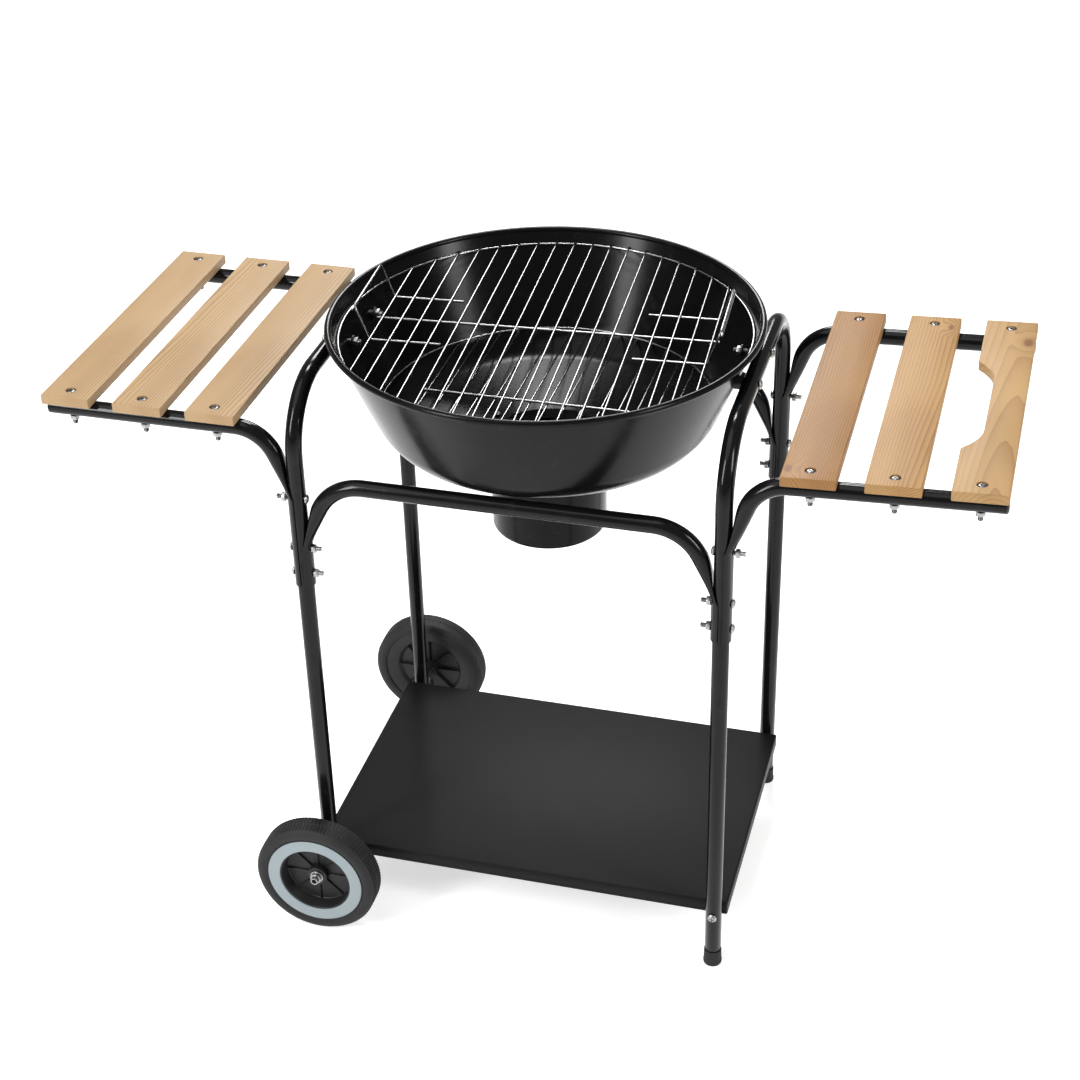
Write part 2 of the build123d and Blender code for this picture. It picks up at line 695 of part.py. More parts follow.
for sy in sides:
    row = row_names[sy]
    with BuildPart() as tyre:
        wheel_section(sy, [
            (rim_radius, wheel_inner_face + tyre_shoulder / 2),
            (wheel_radius - tyre_shoulder, wheel_inner_face),
            (wheel_radius - tyre_shoulder / 4, wheel_inner_face + 4),
            (wheel_radius, wheel_inner_face + 10),
            (wheel_radius, wheel_outer_face - 10),
            (wheel_radius - tyre_shoulder / 4, wheel_outer_face - 4),
            (wheel_radius - tyre_shoulder, wheel_outer_face),
            (rim_radius, wheel_outer_face - 1),
        ])
    save(tyre, f"{row}_wheel_tyre")
    face = wheel_outer_face - 1
    trim_floor = face - trim_depth
    with BuildPart() as hub:
        edge = rim_radius - joint_gap
        web = hub_outer - web_face
        wheel_section(sy, [
            (trim_inner, wheel_inner_face + 8),
            (edge, wheel_inner_face + tyre_shoulder / 2),
            (edge, face),
            (trim_outer + 0.1, face),
            (trim_outer + 0.1, trim_floor),
            (trim_inner - 2, trim_floor),
            (trim_inner - 4, web),
            (hub_radius, web),
            (hub_radius, web - web_thickness),
            (trim_inner - 4, web - web_thickness),
        ])
        boss = disc(Plane((-leg_x, sy * hub_inner, axle_height), z_dir=(0, sy, 0)), hub_radius)
        extrude(boss, amount=hub_outer - hub_inner)
        spoke_low = wheel_inner_face + spoke_start
        spoke_plane = Plane((-leg_x, sy * spoke_low, axle_height), z_dir=(0, sy, 0))
        spoke_middle = (hub_radius + trim_inner) / 2 - 1
        with BuildSketch(spoke_plane) as spokes:
            with PolarLocations(spoke_middle, spoke_count):
                Rectangle(trim_inner - hub_radius, spoke_width)
        extrude(spokes.sketch, amount=hub_outer - 3 - spoke_low)
        bore = Plane((-leg_x, sy * hub_inner, axle_height), z_dir=(0, 1, 0))
        drill(bore, axle_radius + bore_clearance, 8 * tube_radius)
    save(hub, f"{row}_wheel_hub")
    with BuildPart() as trim:
        seat = Plane((-leg_x, sy * (trim_floor + joint_gap), axle_height), z_dir=(0, sy, 0))
        extrude(ring(seat, trim_outer, trim_inner), amount=trim_depth)
    save(trim, f"{row}_wheel_trim")
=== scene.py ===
"""Finished look of an open kettle charcoal grill on its two-wheeled tube trolley.

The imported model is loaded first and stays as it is: its boxes give every place and most sizes.
Each sub-assembly is a class that bends, turns or cuts its pieces and lays a finish on them.
+Z is up, +X points to the side on rubber feet, -Y is the front. All lengths are in metres.
"""

from __future__ import annotations

import logging
import math
from collections.abc import Callable, Iterable, Sequence
from dataclasses import dataclass, field, replace
from enum import Enum

import bmesh
import bpy
from mathutils import Matrix, Vector

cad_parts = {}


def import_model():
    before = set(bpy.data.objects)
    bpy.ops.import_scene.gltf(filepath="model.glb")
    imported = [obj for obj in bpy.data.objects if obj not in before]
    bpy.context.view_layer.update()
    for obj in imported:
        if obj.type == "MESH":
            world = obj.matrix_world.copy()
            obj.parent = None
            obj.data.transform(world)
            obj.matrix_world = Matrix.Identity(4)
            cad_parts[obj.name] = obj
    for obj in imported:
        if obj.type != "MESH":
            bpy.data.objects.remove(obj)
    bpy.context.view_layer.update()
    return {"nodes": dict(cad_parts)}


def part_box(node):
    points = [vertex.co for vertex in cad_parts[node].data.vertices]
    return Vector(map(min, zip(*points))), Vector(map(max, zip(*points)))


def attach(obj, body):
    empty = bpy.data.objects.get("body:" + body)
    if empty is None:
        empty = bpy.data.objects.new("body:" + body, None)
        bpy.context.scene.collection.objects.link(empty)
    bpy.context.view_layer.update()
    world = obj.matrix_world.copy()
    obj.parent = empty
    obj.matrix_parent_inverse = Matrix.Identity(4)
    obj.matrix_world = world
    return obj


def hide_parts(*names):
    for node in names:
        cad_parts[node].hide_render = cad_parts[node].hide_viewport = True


LOG = logging.getLogger("kettle_grill")
MM = 0.001
UP = Vector((0.0, 0.0, 1.0))
ALONG_X = Vector((1.0, 0.0, 0.0))
ALONG_Y = Vector((0.0, 1.0, 0.0))
Point = tuple[float, float]
Colour = tuple[float, float, float]


class Side(Enum):
    """The two ends of the trolley."""

    LEFT = -1
    RIGHT = 1


class Row(Enum):
    """The two long sides of the trolley."""

    FRONT = -1
    REAR = 1


class Body(Enum):
    """The bodies of the frame that pieces ride on."""

    TROLLEY = "trolley"
    ASH_CAN = "ash_can"
    CHARCOAL_GRATE = "charcoal_grate"
    COOKING_GRATE = "cooking_grate"
    FRONT_WHEEL = "front_wheel"
    REAR_WHEEL = "rear_wheel"


@dataclass(frozen=True)
class Span:
    """The box that a node of the frame fills."""

    low: Vector
    high: Vector

    @classmethod
    def of(cls, node: str) -> Span:
        """Return the box of a named node."""
        return cls(*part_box(node))

    @property
    def middle(self) -> Vector:
        """Return the centre of the box."""
        return (self.low + self.high) / 2

    @property
    def size(self) -> Vector:
        """Return the lengths of the box."""
        return self.high - self.low


# ---------------------------------------------------------------- shader maths
class Signal:
    """A number that varies over a surface; arithmetic on it adds Math nodes."""

    def __init__(self, board: Board, socket: bpy.types.NodeSocket) -> None:
        """Keep the node board and the socket that gives the number."""
        self.board = board
        self.socket = socket

    def math(self, operation: str, *values: Signal | float) -> Signal:
        """Add a Math node.

        Args:
            operation: the node's operation.
            values: what goes into its sockets, in order.

        Returns:
            The node's result.
        """
        return self.board.node("ShaderNodeMath", {"operation": operation}, dict(enumerate(values)))

    def __add__(self, other: Signal | float) -> Signal:
        """Return the sum."""
        return self.math("ADD", self, other)

    __radd__ = __add__

    def __sub__(self, other: Signal | float) -> Signal:
        """Return the difference."""
        return self.math("SUBTRACT", self, other)

    def __rsub__(self, other: float) -> Signal:
        """Return a number less this one."""
        return self.math("SUBTRACT", other, self)

    def __mul__(self, other: Signal | float) -> Signal:
        """Return the product."""
        return self.math("MULTIPLY", self, other)

    __rmul__ = __mul__

    def __truediv__(self, other: Signal | float) -> Signal:
        """Return the quotient."""
        return self.math("DIVIDE", self, other)

    def __pow__(self, other: float) -> Signal:
        """Return a power."""
        return self.math("POWER", self, other)

    def fraction(self) -> Signal:
        """Return what is left after the whole number."""
        return self.math("FRACT", self)

    def highest(self, other: Signal | float) -> Signal:
        """Return the larger of two numbers."""
        return self.math("MAXIMUM", self, other)

    def eased(self, start: float, end: float) -> Signal:
        """Return 0 before start, 1 after end and a smooth step between."""
        settings = {"interpolation_type": "SMOOTHSTEP"}
        return self.board.node("ShaderNodeMapRange", settings, {0: self, 1: start, 2: end})


class Board:
    """The node board of one material."""

    def __init__(self, name: str) -> None:
        """Start a material with one shader and its output."""
        self.material = bpy.data.materials.new(name)
        self.material.use_nodes = True
        self.tree = self.material.node_tree
        self.tree.nodes.clear()
        self.shader = self.tree.nodes.new("ShaderNodeBsdfPrincipled")
        output = self.tree.nodes.new("ShaderNodeOutputMaterial")
        self.tree.links.new(self.shader.outputs[0], output.inputs["Surface"])

    def node(self, kind: str, settings: dict, values: dict, output: int | str = 0) -> Signal:
        """Add any node.

        Args:
            kind: the node's type.
            settings: its properties, set first.
            values: a number, a colour or a link for each socket, by name or place.
            output: the output that is wanted.

        Returns:
            That output.
        """
        made = self.tree.nodes.new(kind)
        for key, value in settings.items():
            setattr(made, key, value)
        for key, value in values.items():
            self.feed(made.inputs[key], value)
        return Signal(self, made.outputs[output])

    def feed(self, socket: bpy.types.NodeSocket, value: Signal | float | Sequence[float]) -> None:
        """Link a signal to a socket, or set the socket's own value."""
        if isinstance(value, Signal):
            self.tree.links.new(value.socket, socket)
        elif socket.type == "RGBA" and len(value) == 3:
            socket.default_value = (*value, 1.0)
        else:
            socket.default_value = value

    def surface(self, **values: Signal | float | Colour) -> bpy.types.Material:
        """Feed the shader's sockets, named with underscores, and return the material."""
        for name, value in values.items():
            self.feed(self.shader.inputs[name.replace("_", " ")], value)
        return self.material

    def place(self, shift: Sequence[float] = (0, 0, 0), stretch: Sequence[float] = (1, 1, 1)) -> Signal:
        """Return the surface's own coordinates, shifted and then stretched."""
        where = self.node("ShaderNodeTexCoord", {}, {}, "Object")
        moved = self.node("ShaderNodeVectorMath", {"operation": "ADD"}, {0: where, 1: shift})
        return self.node("ShaderNodeVectorMath", {"operation": "MULTIPLY"}, {0: moved, 1: stretch})

    def split(self, vector: Signal) -> tuple[Signal, Signal, Signal]:
        """Return the three numbers of a vector."""
        parts = self.node("ShaderNodeSeparateXYZ", {}, {0: vector}).socket.node
        return tuple(Signal(self, output) for output in parts.outputs)

    def noise(self, where: Signal, scale: float, detail: float = 2.0, rough: float = 0.5) -> Signal:
        """Return soft noise from 0 to 1.

        Args:
            where: the coordinates.
            scale: how many lumps lie along a metre.
            detail: how many finer layers are added.
            rough: how strong the finer layers are.

        Returns:
            The noise.
        """
        values = {"Vector": where, "Scale": scale, "Detail": detail, "Roughness": rough}
        return self.node("ShaderNodeTexNoise", {}, values)

    def cells(self, where: Signal, scale: float) -> Signal:
        """Return the distance to the nearest of many scattered points."""
        return self.node("ShaderNodeTexVoronoi", {}, {"Vector": where, "Scale": scale})

    def mix(self, share: Signal, first: Signal | Colour, second: Signal | Colour) -> Signal:
        """Blend two colours by a share from 0 to 1.

        Args:
            share: 0 gives the first colour, 1 the second.
            first: a colour.
            second: another.

        Returns:
            The blend.
        """
        return self.node("ShaderNodeMix", {"data_type": "RGBA"}, {0: share, 6: first, 7: second}, 2)

    def bump(self, height: Signal, depth: float) -> Signal:
        """Return the normal of a surface whose relief is a height from 0 to 1 times a depth."""
        return self.node("ShaderNodeBump", {}, {"Height": height, "Distance": depth})


# ---------------------------------------------------------------- finishes
@dataclass(frozen=True)
class Finish:
    """What a surface is covered with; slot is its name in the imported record."""

    slot: str

    def material(self) -> bpy.types.Material:
        """Return a new material of this finish."""
        raise NotImplementedError


@dataclass(frozen=True)
class GlossCoat(Finish):
    """Gloss enamel or powder coat on steel: faint orange peel, dust and wiped patches."""

    colour: Colour = (0.004, 0.004, 0.0045)
    rough: float = 0.06
    peel_scale: float = 260.0
    peel_depth: float = 0.006 * MM
    shine: float = 0.105

    def material(self) -> bpy.types.Material:
        """Return a new gloss black material."""
        board = Board(self.slot)
        where = board.place()
        wiped = board.noise(where, 9.0, 4.0, 0.6)
        dusty = board.noise(where, 46.0, 5.0, 0.7).eased(0.52, 0.78)
        peel = board.noise(where, self.peel_scale, 1.0)
        grey = tuple(channel + 0.012 for channel in self.colour)
        return board.surface(
            Base_Color=board.mix(dusty * 0.5, self.colour, grey),
            Roughness=self.rough + wiped * 0.08 + dusty * 0.06,
            Specular_IOR_Level=self.shine,
            Normal=board.bump(peel, self.peel_depth),
        )


@dataclass(frozen=True)
class SatinCoat(Finish):
    """Satin powder coat on sheet steel, finely pebbled, with faint rub marks."""

    colour: Colour = (0.009, 0.009, 0.0095)
    shine: float = 0.045

    def material(self) -> bpy.types.Material:
        """Return a new satin black material."""
        board = Board(self.slot)
        where = board.place()
        cloud = board.noise(where, 6.0, 5.0, 0.6)
        pebble = board.noise(where, 1300.0, 2.0)
        rubbed = board.noise(board.place(stretch=(0.25, 1.0, 1.0)), 240.0, 3.0, 0.7).eased(0.62, 0.78)
        lighter = tuple(1.35 * channel + 0.004 for channel in self.colour)
        return board.surface(
            Base_Color=board.mix(cloud * 0.6 + rubbed * 0.15, self.colour, lighter),
            Roughness=0.34 + cloud * 0.12 + pebble * 0.06,
            Specular_IOR_Level=self.shine,
            Normal=board.bump(pebble, 0.03 * MM),
        )


@dataclass(frozen=True)
class PlatedWire(Finish):
    """Bright plated wire with fine drawing marks and slightly duller patches."""

    colour: Colour = (0.27, 0.27, 0.266)
    dull: Colour = (0.17, 0.167, 0.162)

    def material(self) -> bpy.types.Material:
        """Return a new plated wire material."""
        board = Board(self.slot)
        where = board.place()
        patch = board.noise(where, 38.0, 4.0, 0.65)
        marks = board.noise(where, 1900.0, 2.0)
        return board.surface(
            Base_Color=board.mix(patch.eased(0.45, 0.75), self.colour, self.dull),
            Metallic=1.0,
            Roughness=0.14 + patch * 0.14 + marks * 0.05,
            Normal=board.bump(marks, 0.01 * MM),
        )


@dataclass(frozen=True)
class ZincPlate(Finish):
    """Zinc plating: greyish, with cloudy spangle and small stains."""

    colour: Colour = (0.36, 0.36, 0.355)
    stain: Colour = (0.19, 0.18, 0.16)

    def material(self) -> bpy.types.Material:
        """Return a new zinc material."""
        board = Board(self.slot)
        where = board.place()
        spangle = board.cells(where, 700.0)
        stained = board.noise(where, 160.0, 4.0, 0.7).eased(0.55, 0.8)
        return board.surface(
            Base_Color=board.mix(stained * 0.6, self.colour, self.stain),
            Metallic=1.0,
            Roughness=0.27 + spangle * 0.16 + stained * 0.15,
            Normal=board.bump(spangle, 0.02 * MM),
        )


@dataclass(frozen=True)
class Knot:
    """A knot in a board: its place along X and Y from the board's middle, and its radius."""

    x: float
    y: float
    radius: float


@dataclass(frozen=True)
class PineBoard(Finish):
    """Planed pine. The rings are cut from a log whose heart lies beside or under the board."""

    middle: tuple[float, float, float] = (0.0, 0.0, 0.0)
    heart: Point = (0.0, -0.045)
    slant: float = 0.04
    ring: float = 3.4 * MM
    knots: tuple[Knot, ...] = ()
    pale: Colour = (0.406, 0.278, 0.151)
    mid: Colour = (0.331, 0.213, 0.105)
    late: Colour = (0.160, 0.084, 0.034)
    brown: Colour = (0.16, 0.07, 0.028)
    shine: float = 0.25

    def material(self) -> bpy.types.Material:
        """Return a new pine material for one board."""
        board = Board(f"{self.slot}_{round(self.middle[0] / MM)}")
        shift = tuple(-part for part in self.middle)
        where = board.place(shift)
        across, along, depth = board.split(where)
        drift = board.noise(board.place(shift, (9.0, 1.6, 9.0)), 1.0, 3.0) - 0.5
        ripple = board.noise(board.place(shift, (70.0, 9.0, 70.0)), 1.0, 2.0) - 0.5
        side = across - self.heart[0] + drift * 0.030
        under = depth - self.heart[1] + along * self.slant + ripple * 0.0016
        reach = (side * side + under * under) ** 0.5
        dark = 0.0 * along
        for knot in self.knots:
            off_x = across - knot.x
            off_y = (along - knot.y) * 0.55
            away = (off_x * off_x + off_y * off_y) ** 0.5 / knot.radius
            reach = reach + (1.0 - away.eased(0.3, 4.0)) * knot.radius * 1.6
            dark = dark.highest(1.0 - away.eased(0.55, 1.15))
        season = (reach / self.ring).fraction()
        late = season ** 3.0 * 0.8 + season * 0.2
        fibre = board.noise(board.place(shift, (900.0, 22.0, 900.0)), 1.0, 3.0, 0.6)
        pores = board.noise(board.place(shift, (1500.0, 120.0, 1500.0)), 1.0, 1.0).eased(0.62, 0.75)
        cloud = board.noise(board.place(shift, (14.0, 5.0, 14.0)), 1.0, 2.0).eased(0.35, 0.75)
        base = board.mix(cloud * 0.55 + fibre * 0.15, self.pale, self.mid)
        ringed = board.mix(late * (0.62 + 0.30 * cloud), base, self.late)
        flecked = board.mix(pores * 0.18, ringed, self.late)
        return board.surface(
            Base_Color=board.mix(dark * 0.85, flecked, self.brown),
            Specular_IOR_Level=self.shine,
            Roughness=0.50 - late * 0.08 + fibre * 0.10,
            Normal=board.bump(fibre * 0.6 - late * 0.4 + pores * 0.3, 0.10 * MM),
        )


@dataclass(frozen=True)
class Moulded(Finish):
    """Moulded rubber or plastic: a fine grain, with a bloom of dust where it is wanted."""

    colour: Colour = (0.022, 0.022, 0.023)
    rough: float = 0.5
    grain: float = 0.03 * MM
    bloom: float = 0.5
    shine: float = 0.3

    def material(self) -> bpy.types.Material:
        """Return a new moulded material."""
        board = Board(self.slot)
        where = board.place()
        cloud = board.noise(where, 17.0, 4.0, 0.6)
        grain = board.noise(where, 900.0, 2.0)
        dusty = tuple(channel + 0.022 for channel in self.colour)
        return board.surface(
            Base_Color=board.mix(cloud.eased(0.4, 0.8) * self.bloom, self.colour, dusty),
            Roughness=self.rough + cloud * 0.12 - grain * 0.05,
            Specular_IOR_Level=self.shine,
            Normal=board.bump(grain, self.grain),
        )


@dataclass(frozen=True)
class PaperFloor(Finish):
    """The pale sheet that the grill stands on."""

    colour: Colour = (0.72, 0.72, 0.72)
    glow: float = 0.63

    def material(self) -> bpy.types.Material:
        """Return a new floor material."""
        board = Board(self.slot)
        cloud = board.noise(board.place(), 2.0, 2.0)
        paler = tuple(channel + 0.01 for channel in self.colour)
        return board.surface(
            Base_Color=board.mix(cloud, self.colour, paler),
            Roughness=0.9,
            Specular_IOR_Level=0.0,
            Emission_Color=(1.0, 1.0, 1.0),
            Emission_Strength=self.glow,
        )


ENAMEL = GlossCoat("black_enamel", rough=0.16)
TUBE_COAT = GlossCoat("gloss_black_tube", rough=0.12, peel_scale=420.0, peel_depth=0.010 * MM, shine=0.20)
SHEET_COAT = SatinCoat("satin_black")
WIRE = PlatedWire("chrome_wire")
ZINC = ZincPlate("zinc_steel")
DULL_ZINC = replace(ZINC, colour=(0.24, 0.24, 0.235))
TYRE = Moulded("tyre_rubber", colour=(0.011, 0.011, 0.0115), rough=0.62, bloom=0.35)
WHEEL = Moulded("wheel_plastic", colour=(0.010, 0.010, 0.0105), rough=0.42, bloom=0.2)
TRIM = Moulded("grey_trim", colour=(0.245, 0.288, 0.307), rough=0.42, bloom=0.6)
FOOT = Moulded("foot_rubber", colour=(0.010, 0.010, 0.010), rough=0.60, bloom=0.3)
PLUG = Moulded("black_plastic", colour=(0.008, 0.008, 0.008), rough=0.34, bloom=0.2)
PINE = PineBoard("pine_wood")


class FinishRack:
    """Keeps one material for each finish."""

    def __init__(self) -> None:
        """Start with an empty rack."""
        self.made: dict[Finish, bpy.types.Material] = {}

    def material(self, finish: Finish) -> bpy.types.Material:
        """Return the material of a finish, made on first use."""
        if finish not in self.made:
            self.made[finish] = finish.material()
        return self.made[finish]


RACK = FinishRack()


# ---------------------------------------------------------------- outlines and placing
def facing(origin: Vector | Sequence[float], direction: Vector | Sequence[float]) -> Matrix:
    """Return the matrix that brings local Z along a direction at a point."""
    turn = Vector(direction).to_track_quat("Z", "Y").to_matrix().to_4x4()
    return Matrix.Translation(Vector(origin)) @ turn


def rounded(outline: Sequence[Point], radii: Sequence[float] | float, steps: int = 5) -> list[Point]:
    """Round the inner corners of an open outline.

    Args:
        outline: the corners.
        radii: one radius for all inner corners, or one for each.
        steps: how many straight pieces a full corner gets.

    Returns:
        The outline with arcs in place of its inner corners.
    """
    if isinstance(radii, float):
        radii = [radii] * (len(outline) - 2)
    points = [outline[0]]
    for before, corner, after, radius in zip(outline, outline[1:], outline[2:], radii):
        here = Vector(corner)
        back = (Vector(before) - here).normalized()
        ahead = (Vector(after) - here).normalized()
        half = back.angle(ahead) / 2
        if radius <= 0 or half > math.radians(89.5):
            points.append(corner)
            continue
        centre = here + (back + ahead).normalized() * radius / math.sin(half)
        start = here + back * radius / math.tan(half) - centre
        sweep = -start.angle_signed(here + ahead * radius / math.tan(half) - centre)
        for step in range(steps + 1):
            spot = centre + Matrix.Rotation(sweep * step / steps, 2) @ start
            points.append((spot.x, spot.y))
    points.append(outline[-1])
    return points


def loop(radius: float, height: float, wire: float, steps: int) -> list[Point]:
    """Return the round section of a wire or bead, whose middle lies at a radius and a height.

    Args:
        radius: of the section's middle from the axis.
        height: of the section's middle.
        wire: radius of the section itself.
        steps: how many points it gets.

    Returns:
        The points.
    """
    turns = (math.tau * step / steps for step in range(steps))
    return [(radius + wire * math.cos(turn), height + wire * math.sin(turn)) for turn in turns]


def walled(outline: Sequence[Point], wall: float) -> list[Point]:
    """Return a closed outline of a sheet, whose thickness goes to the left of the outline."""
    points = [Vector(point) for point in outline]
    inner = []
    for index, point in enumerate(points):
        before = points[max(index - 1, 0)]
        after = points[min(index + 1, len(points) - 1)]
        along = (after - before).normalized()
        inner.append((point.x - along.y * wall, point.y + along.x * wall))
    return [*outline, *reversed(inner)]


class Form:
    """A mesh that grows by operators until it is a finished piece."""

    def __init__(self) -> None:
        """Start with nothing."""
        self.bm = bmesh.new()

    def lathe(self, outline: Iterable[Point], steps: int = 64) -> Form:
        """Spin an outline of (radius, height) points about Z, closed unless both ends are on it."""
        verts = [self.bm.verts.new((radius, 0.0, height)) for radius, height in outline]
        pairs = list(zip(verts, verts[1:]))
        if verts[0].co.x > 0 or verts[-1].co.x > 0:
            pairs.append((verts[-1], verts[0]))
        edges = [self.bm.edges.new(pair) for pair in pairs]
        bmesh.ops.spin(
            self.bm,
            geom=verts + edges,
            cent=(0, 0, 0),
            axis=UP,
            dvec=(0, 0, 0),
            angle=math.tau,
            steps=steps,
            use_merge=True,
        )
        bmesh.ops.remove_doubles(self.bm, verts=self.bm.verts, dist=0.002 * MM)
        return self

    def rod(self, start: Vector, end: Vector, radius: float, sides: int = 10) -> Form:
        """Add a straight rod between two points.

        Args:
            start: the middle of one end.
            end: the middle of the other.
            radius: its radius.
            sides: how many flat strips go round it.

        Returns:
            This form.
        """
        run = end - start
        bmesh.ops.create_cone(
            self.bm,
            cap_ends=True,
            segments=sides,
            radius1=radius,
            radius2=radius,
            depth=run.length,
            matrix=facing((start + end) / 2, run),
        )
        return self

    def nugget(self, place: Vector, radius: float) -> Form:
        """Add the small bead of a spot weld."""
        bmesh.ops.create_icosphere(self.bm, subdivisions=1, radius=radius, matrix=Matrix.Translation(place))
        return self

    def block(self, size: Sequence[float], matrix: Matrix, bevel: float = 0.0, segments: int = 1) -> Form:
        """Add a block with rounded edges, placed by a matrix.

        Args:
            size: its three lengths.
            matrix: its place and turn.
            bevel: the width of its rounded edges, or 0 for sharp ones.
            segments: how many strips round an edge.

        Returns:
            This form.
        """
        made = bmesh.ops.create_cube(self.bm, size=1.0, matrix=matrix @ Matrix.Diagonal((*size, 1.0)))
        if bevel:
            self.soften({edge for vert in made["verts"] for edge in vert.link_edges}, bevel, segments)
        return self

    def soften(self, edges: Iterable[bmesh.types.BMEdge], width: float, segments: int = 2) -> Form:
        """Round a set of edges.

        Args:
            edges: the edges.
            width: of the rounding.
            segments: how many strips round an edge.

        Returns:
            This form.
        """
        bmesh.ops.bevel(
            self.bm,
            geom=list(edges),
            offset=width,
            segments=segments,
            profile=0.5,
            affect="EDGES",
            material=-1,
            clamp_overlap=True,
        )
        return self

    def slab(self, outline: Sequence[Point], thickness: float, bevel: float, segments: int = 3) -> Form:
        """Extrude a closed outline up along Z, about its middle, and round all its edges.

        Args:
            outline: the corners, in order.
            thickness: of the slab.
            bevel: the width of its rounded edges.
            segments: how many strips round an edge.

        Returns:
            This form.
        """
        verts = [self.bm.verts.new((x, y, -thickness / 2)) for x, y in outline]
        face = self.bm.faces.new(verts)
        made = bmesh.ops.extrude_face_region(self.bm, geom=[face])["geom"]
        raised = [part for part in made if isinstance(part, bmesh.types.BMVert)]
        bmesh.ops.translate(self.bm, verts=raised, vec=UP * thickness)
        bmesh.ops.recalc_face_normals(self.bm, faces=self.bm.faces)
        sharp = [edge for edge in self.bm.edges if edge.calc_face_angle(0.0) > math.radians(40)]
        return self.soften(sharp, bevel, segments)

    def moved(self, matrix: Matrix) -> Form:
        """Place the whole form by a matrix."""
        bmesh.ops.transform(self.bm, matrix=matrix, verts=self.bm.verts)
        return self

    def join(self, other: Form, matrix: Matrix | None = None) -> Form:
        """Add a placed copy of another form."""
        copy = bpy.data.meshes.new("copy")
        other.bm.to_mesh(copy)
        if matrix is not None:
            copy.transform(matrix)
        self.bm.from_mesh(copy)
        bpy.data.meshes.remove(copy)
        return self

    def object(self, name: str) -> bpy.types.Object:
        """Return a new object in the scene with this form as its mesh."""
        mesh = bpy.data.meshes.new(name)
        self.bm.to_mesh(mesh)
        made = bpy.data.objects.new(name, mesh)
        bpy.context.scene.collection.objects.link(made)
        return made

    def carve(self, cutter: Form) -> Form:
        """Cut another closed form out of this one."""
        for form in (self, cutter):
            bmesh.ops.recalc_face_normals(form.bm, faces=form.bm.faces)
        work, tool = self.object("work"), cutter.object("tool")
        cut = work.modifiers.new("cut", "BOOLEAN")
        cut.operation = "DIFFERENCE"
        cut.solver = "EXACT"
        cut.object = tool
        graph = bpy.context.evaluated_depsgraph_get()
        result = bpy.data.meshes.new_from_object(work.evaluated_get(graph))
        self.bm.clear()
        self.bm.from_mesh(result)
        bpy.data.meshes.remove(result)
        for done in (work, tool):
            mesh = done.data
            bpy.data.objects.remove(done)
            bpy.data.meshes.remove(mesh)
        return self

    def deliver(
        self,
        name: str,
        body: Body,
        finish: Finish,
        nodes: Sequence[str] = (),
        crease: float = 35.0,
    ) -> bpy.types.Object:
        """Turn the form into a finished piece of the grill.

        Args:
            name: the piece's name.
            body: the body of the frame that it rides on.
            finish: what its surface is covered with.
            nodes: the nodes of the frame that it stands for.
            crease: the angle in degrees over which an edge stays sharp.

        Returns:
            The piece.
        """
        bmesh.ops.recalc_face_normals(self.bm, faces=self.bm.faces)
        piece = self.object(name)
        self.bm.free()
        piece.data.shade_smooth()
        piece.data.set_sharp_from_angle(angle=math.radians(crease))
        piece.data.materials.append(RACK.material(finish))
        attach(piece, body.value)
        if nodes:
            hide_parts(*nodes)
        LOG.info("%s: %d faces, on %s", name, len(piece.data.polygons), body.value)
        return piece


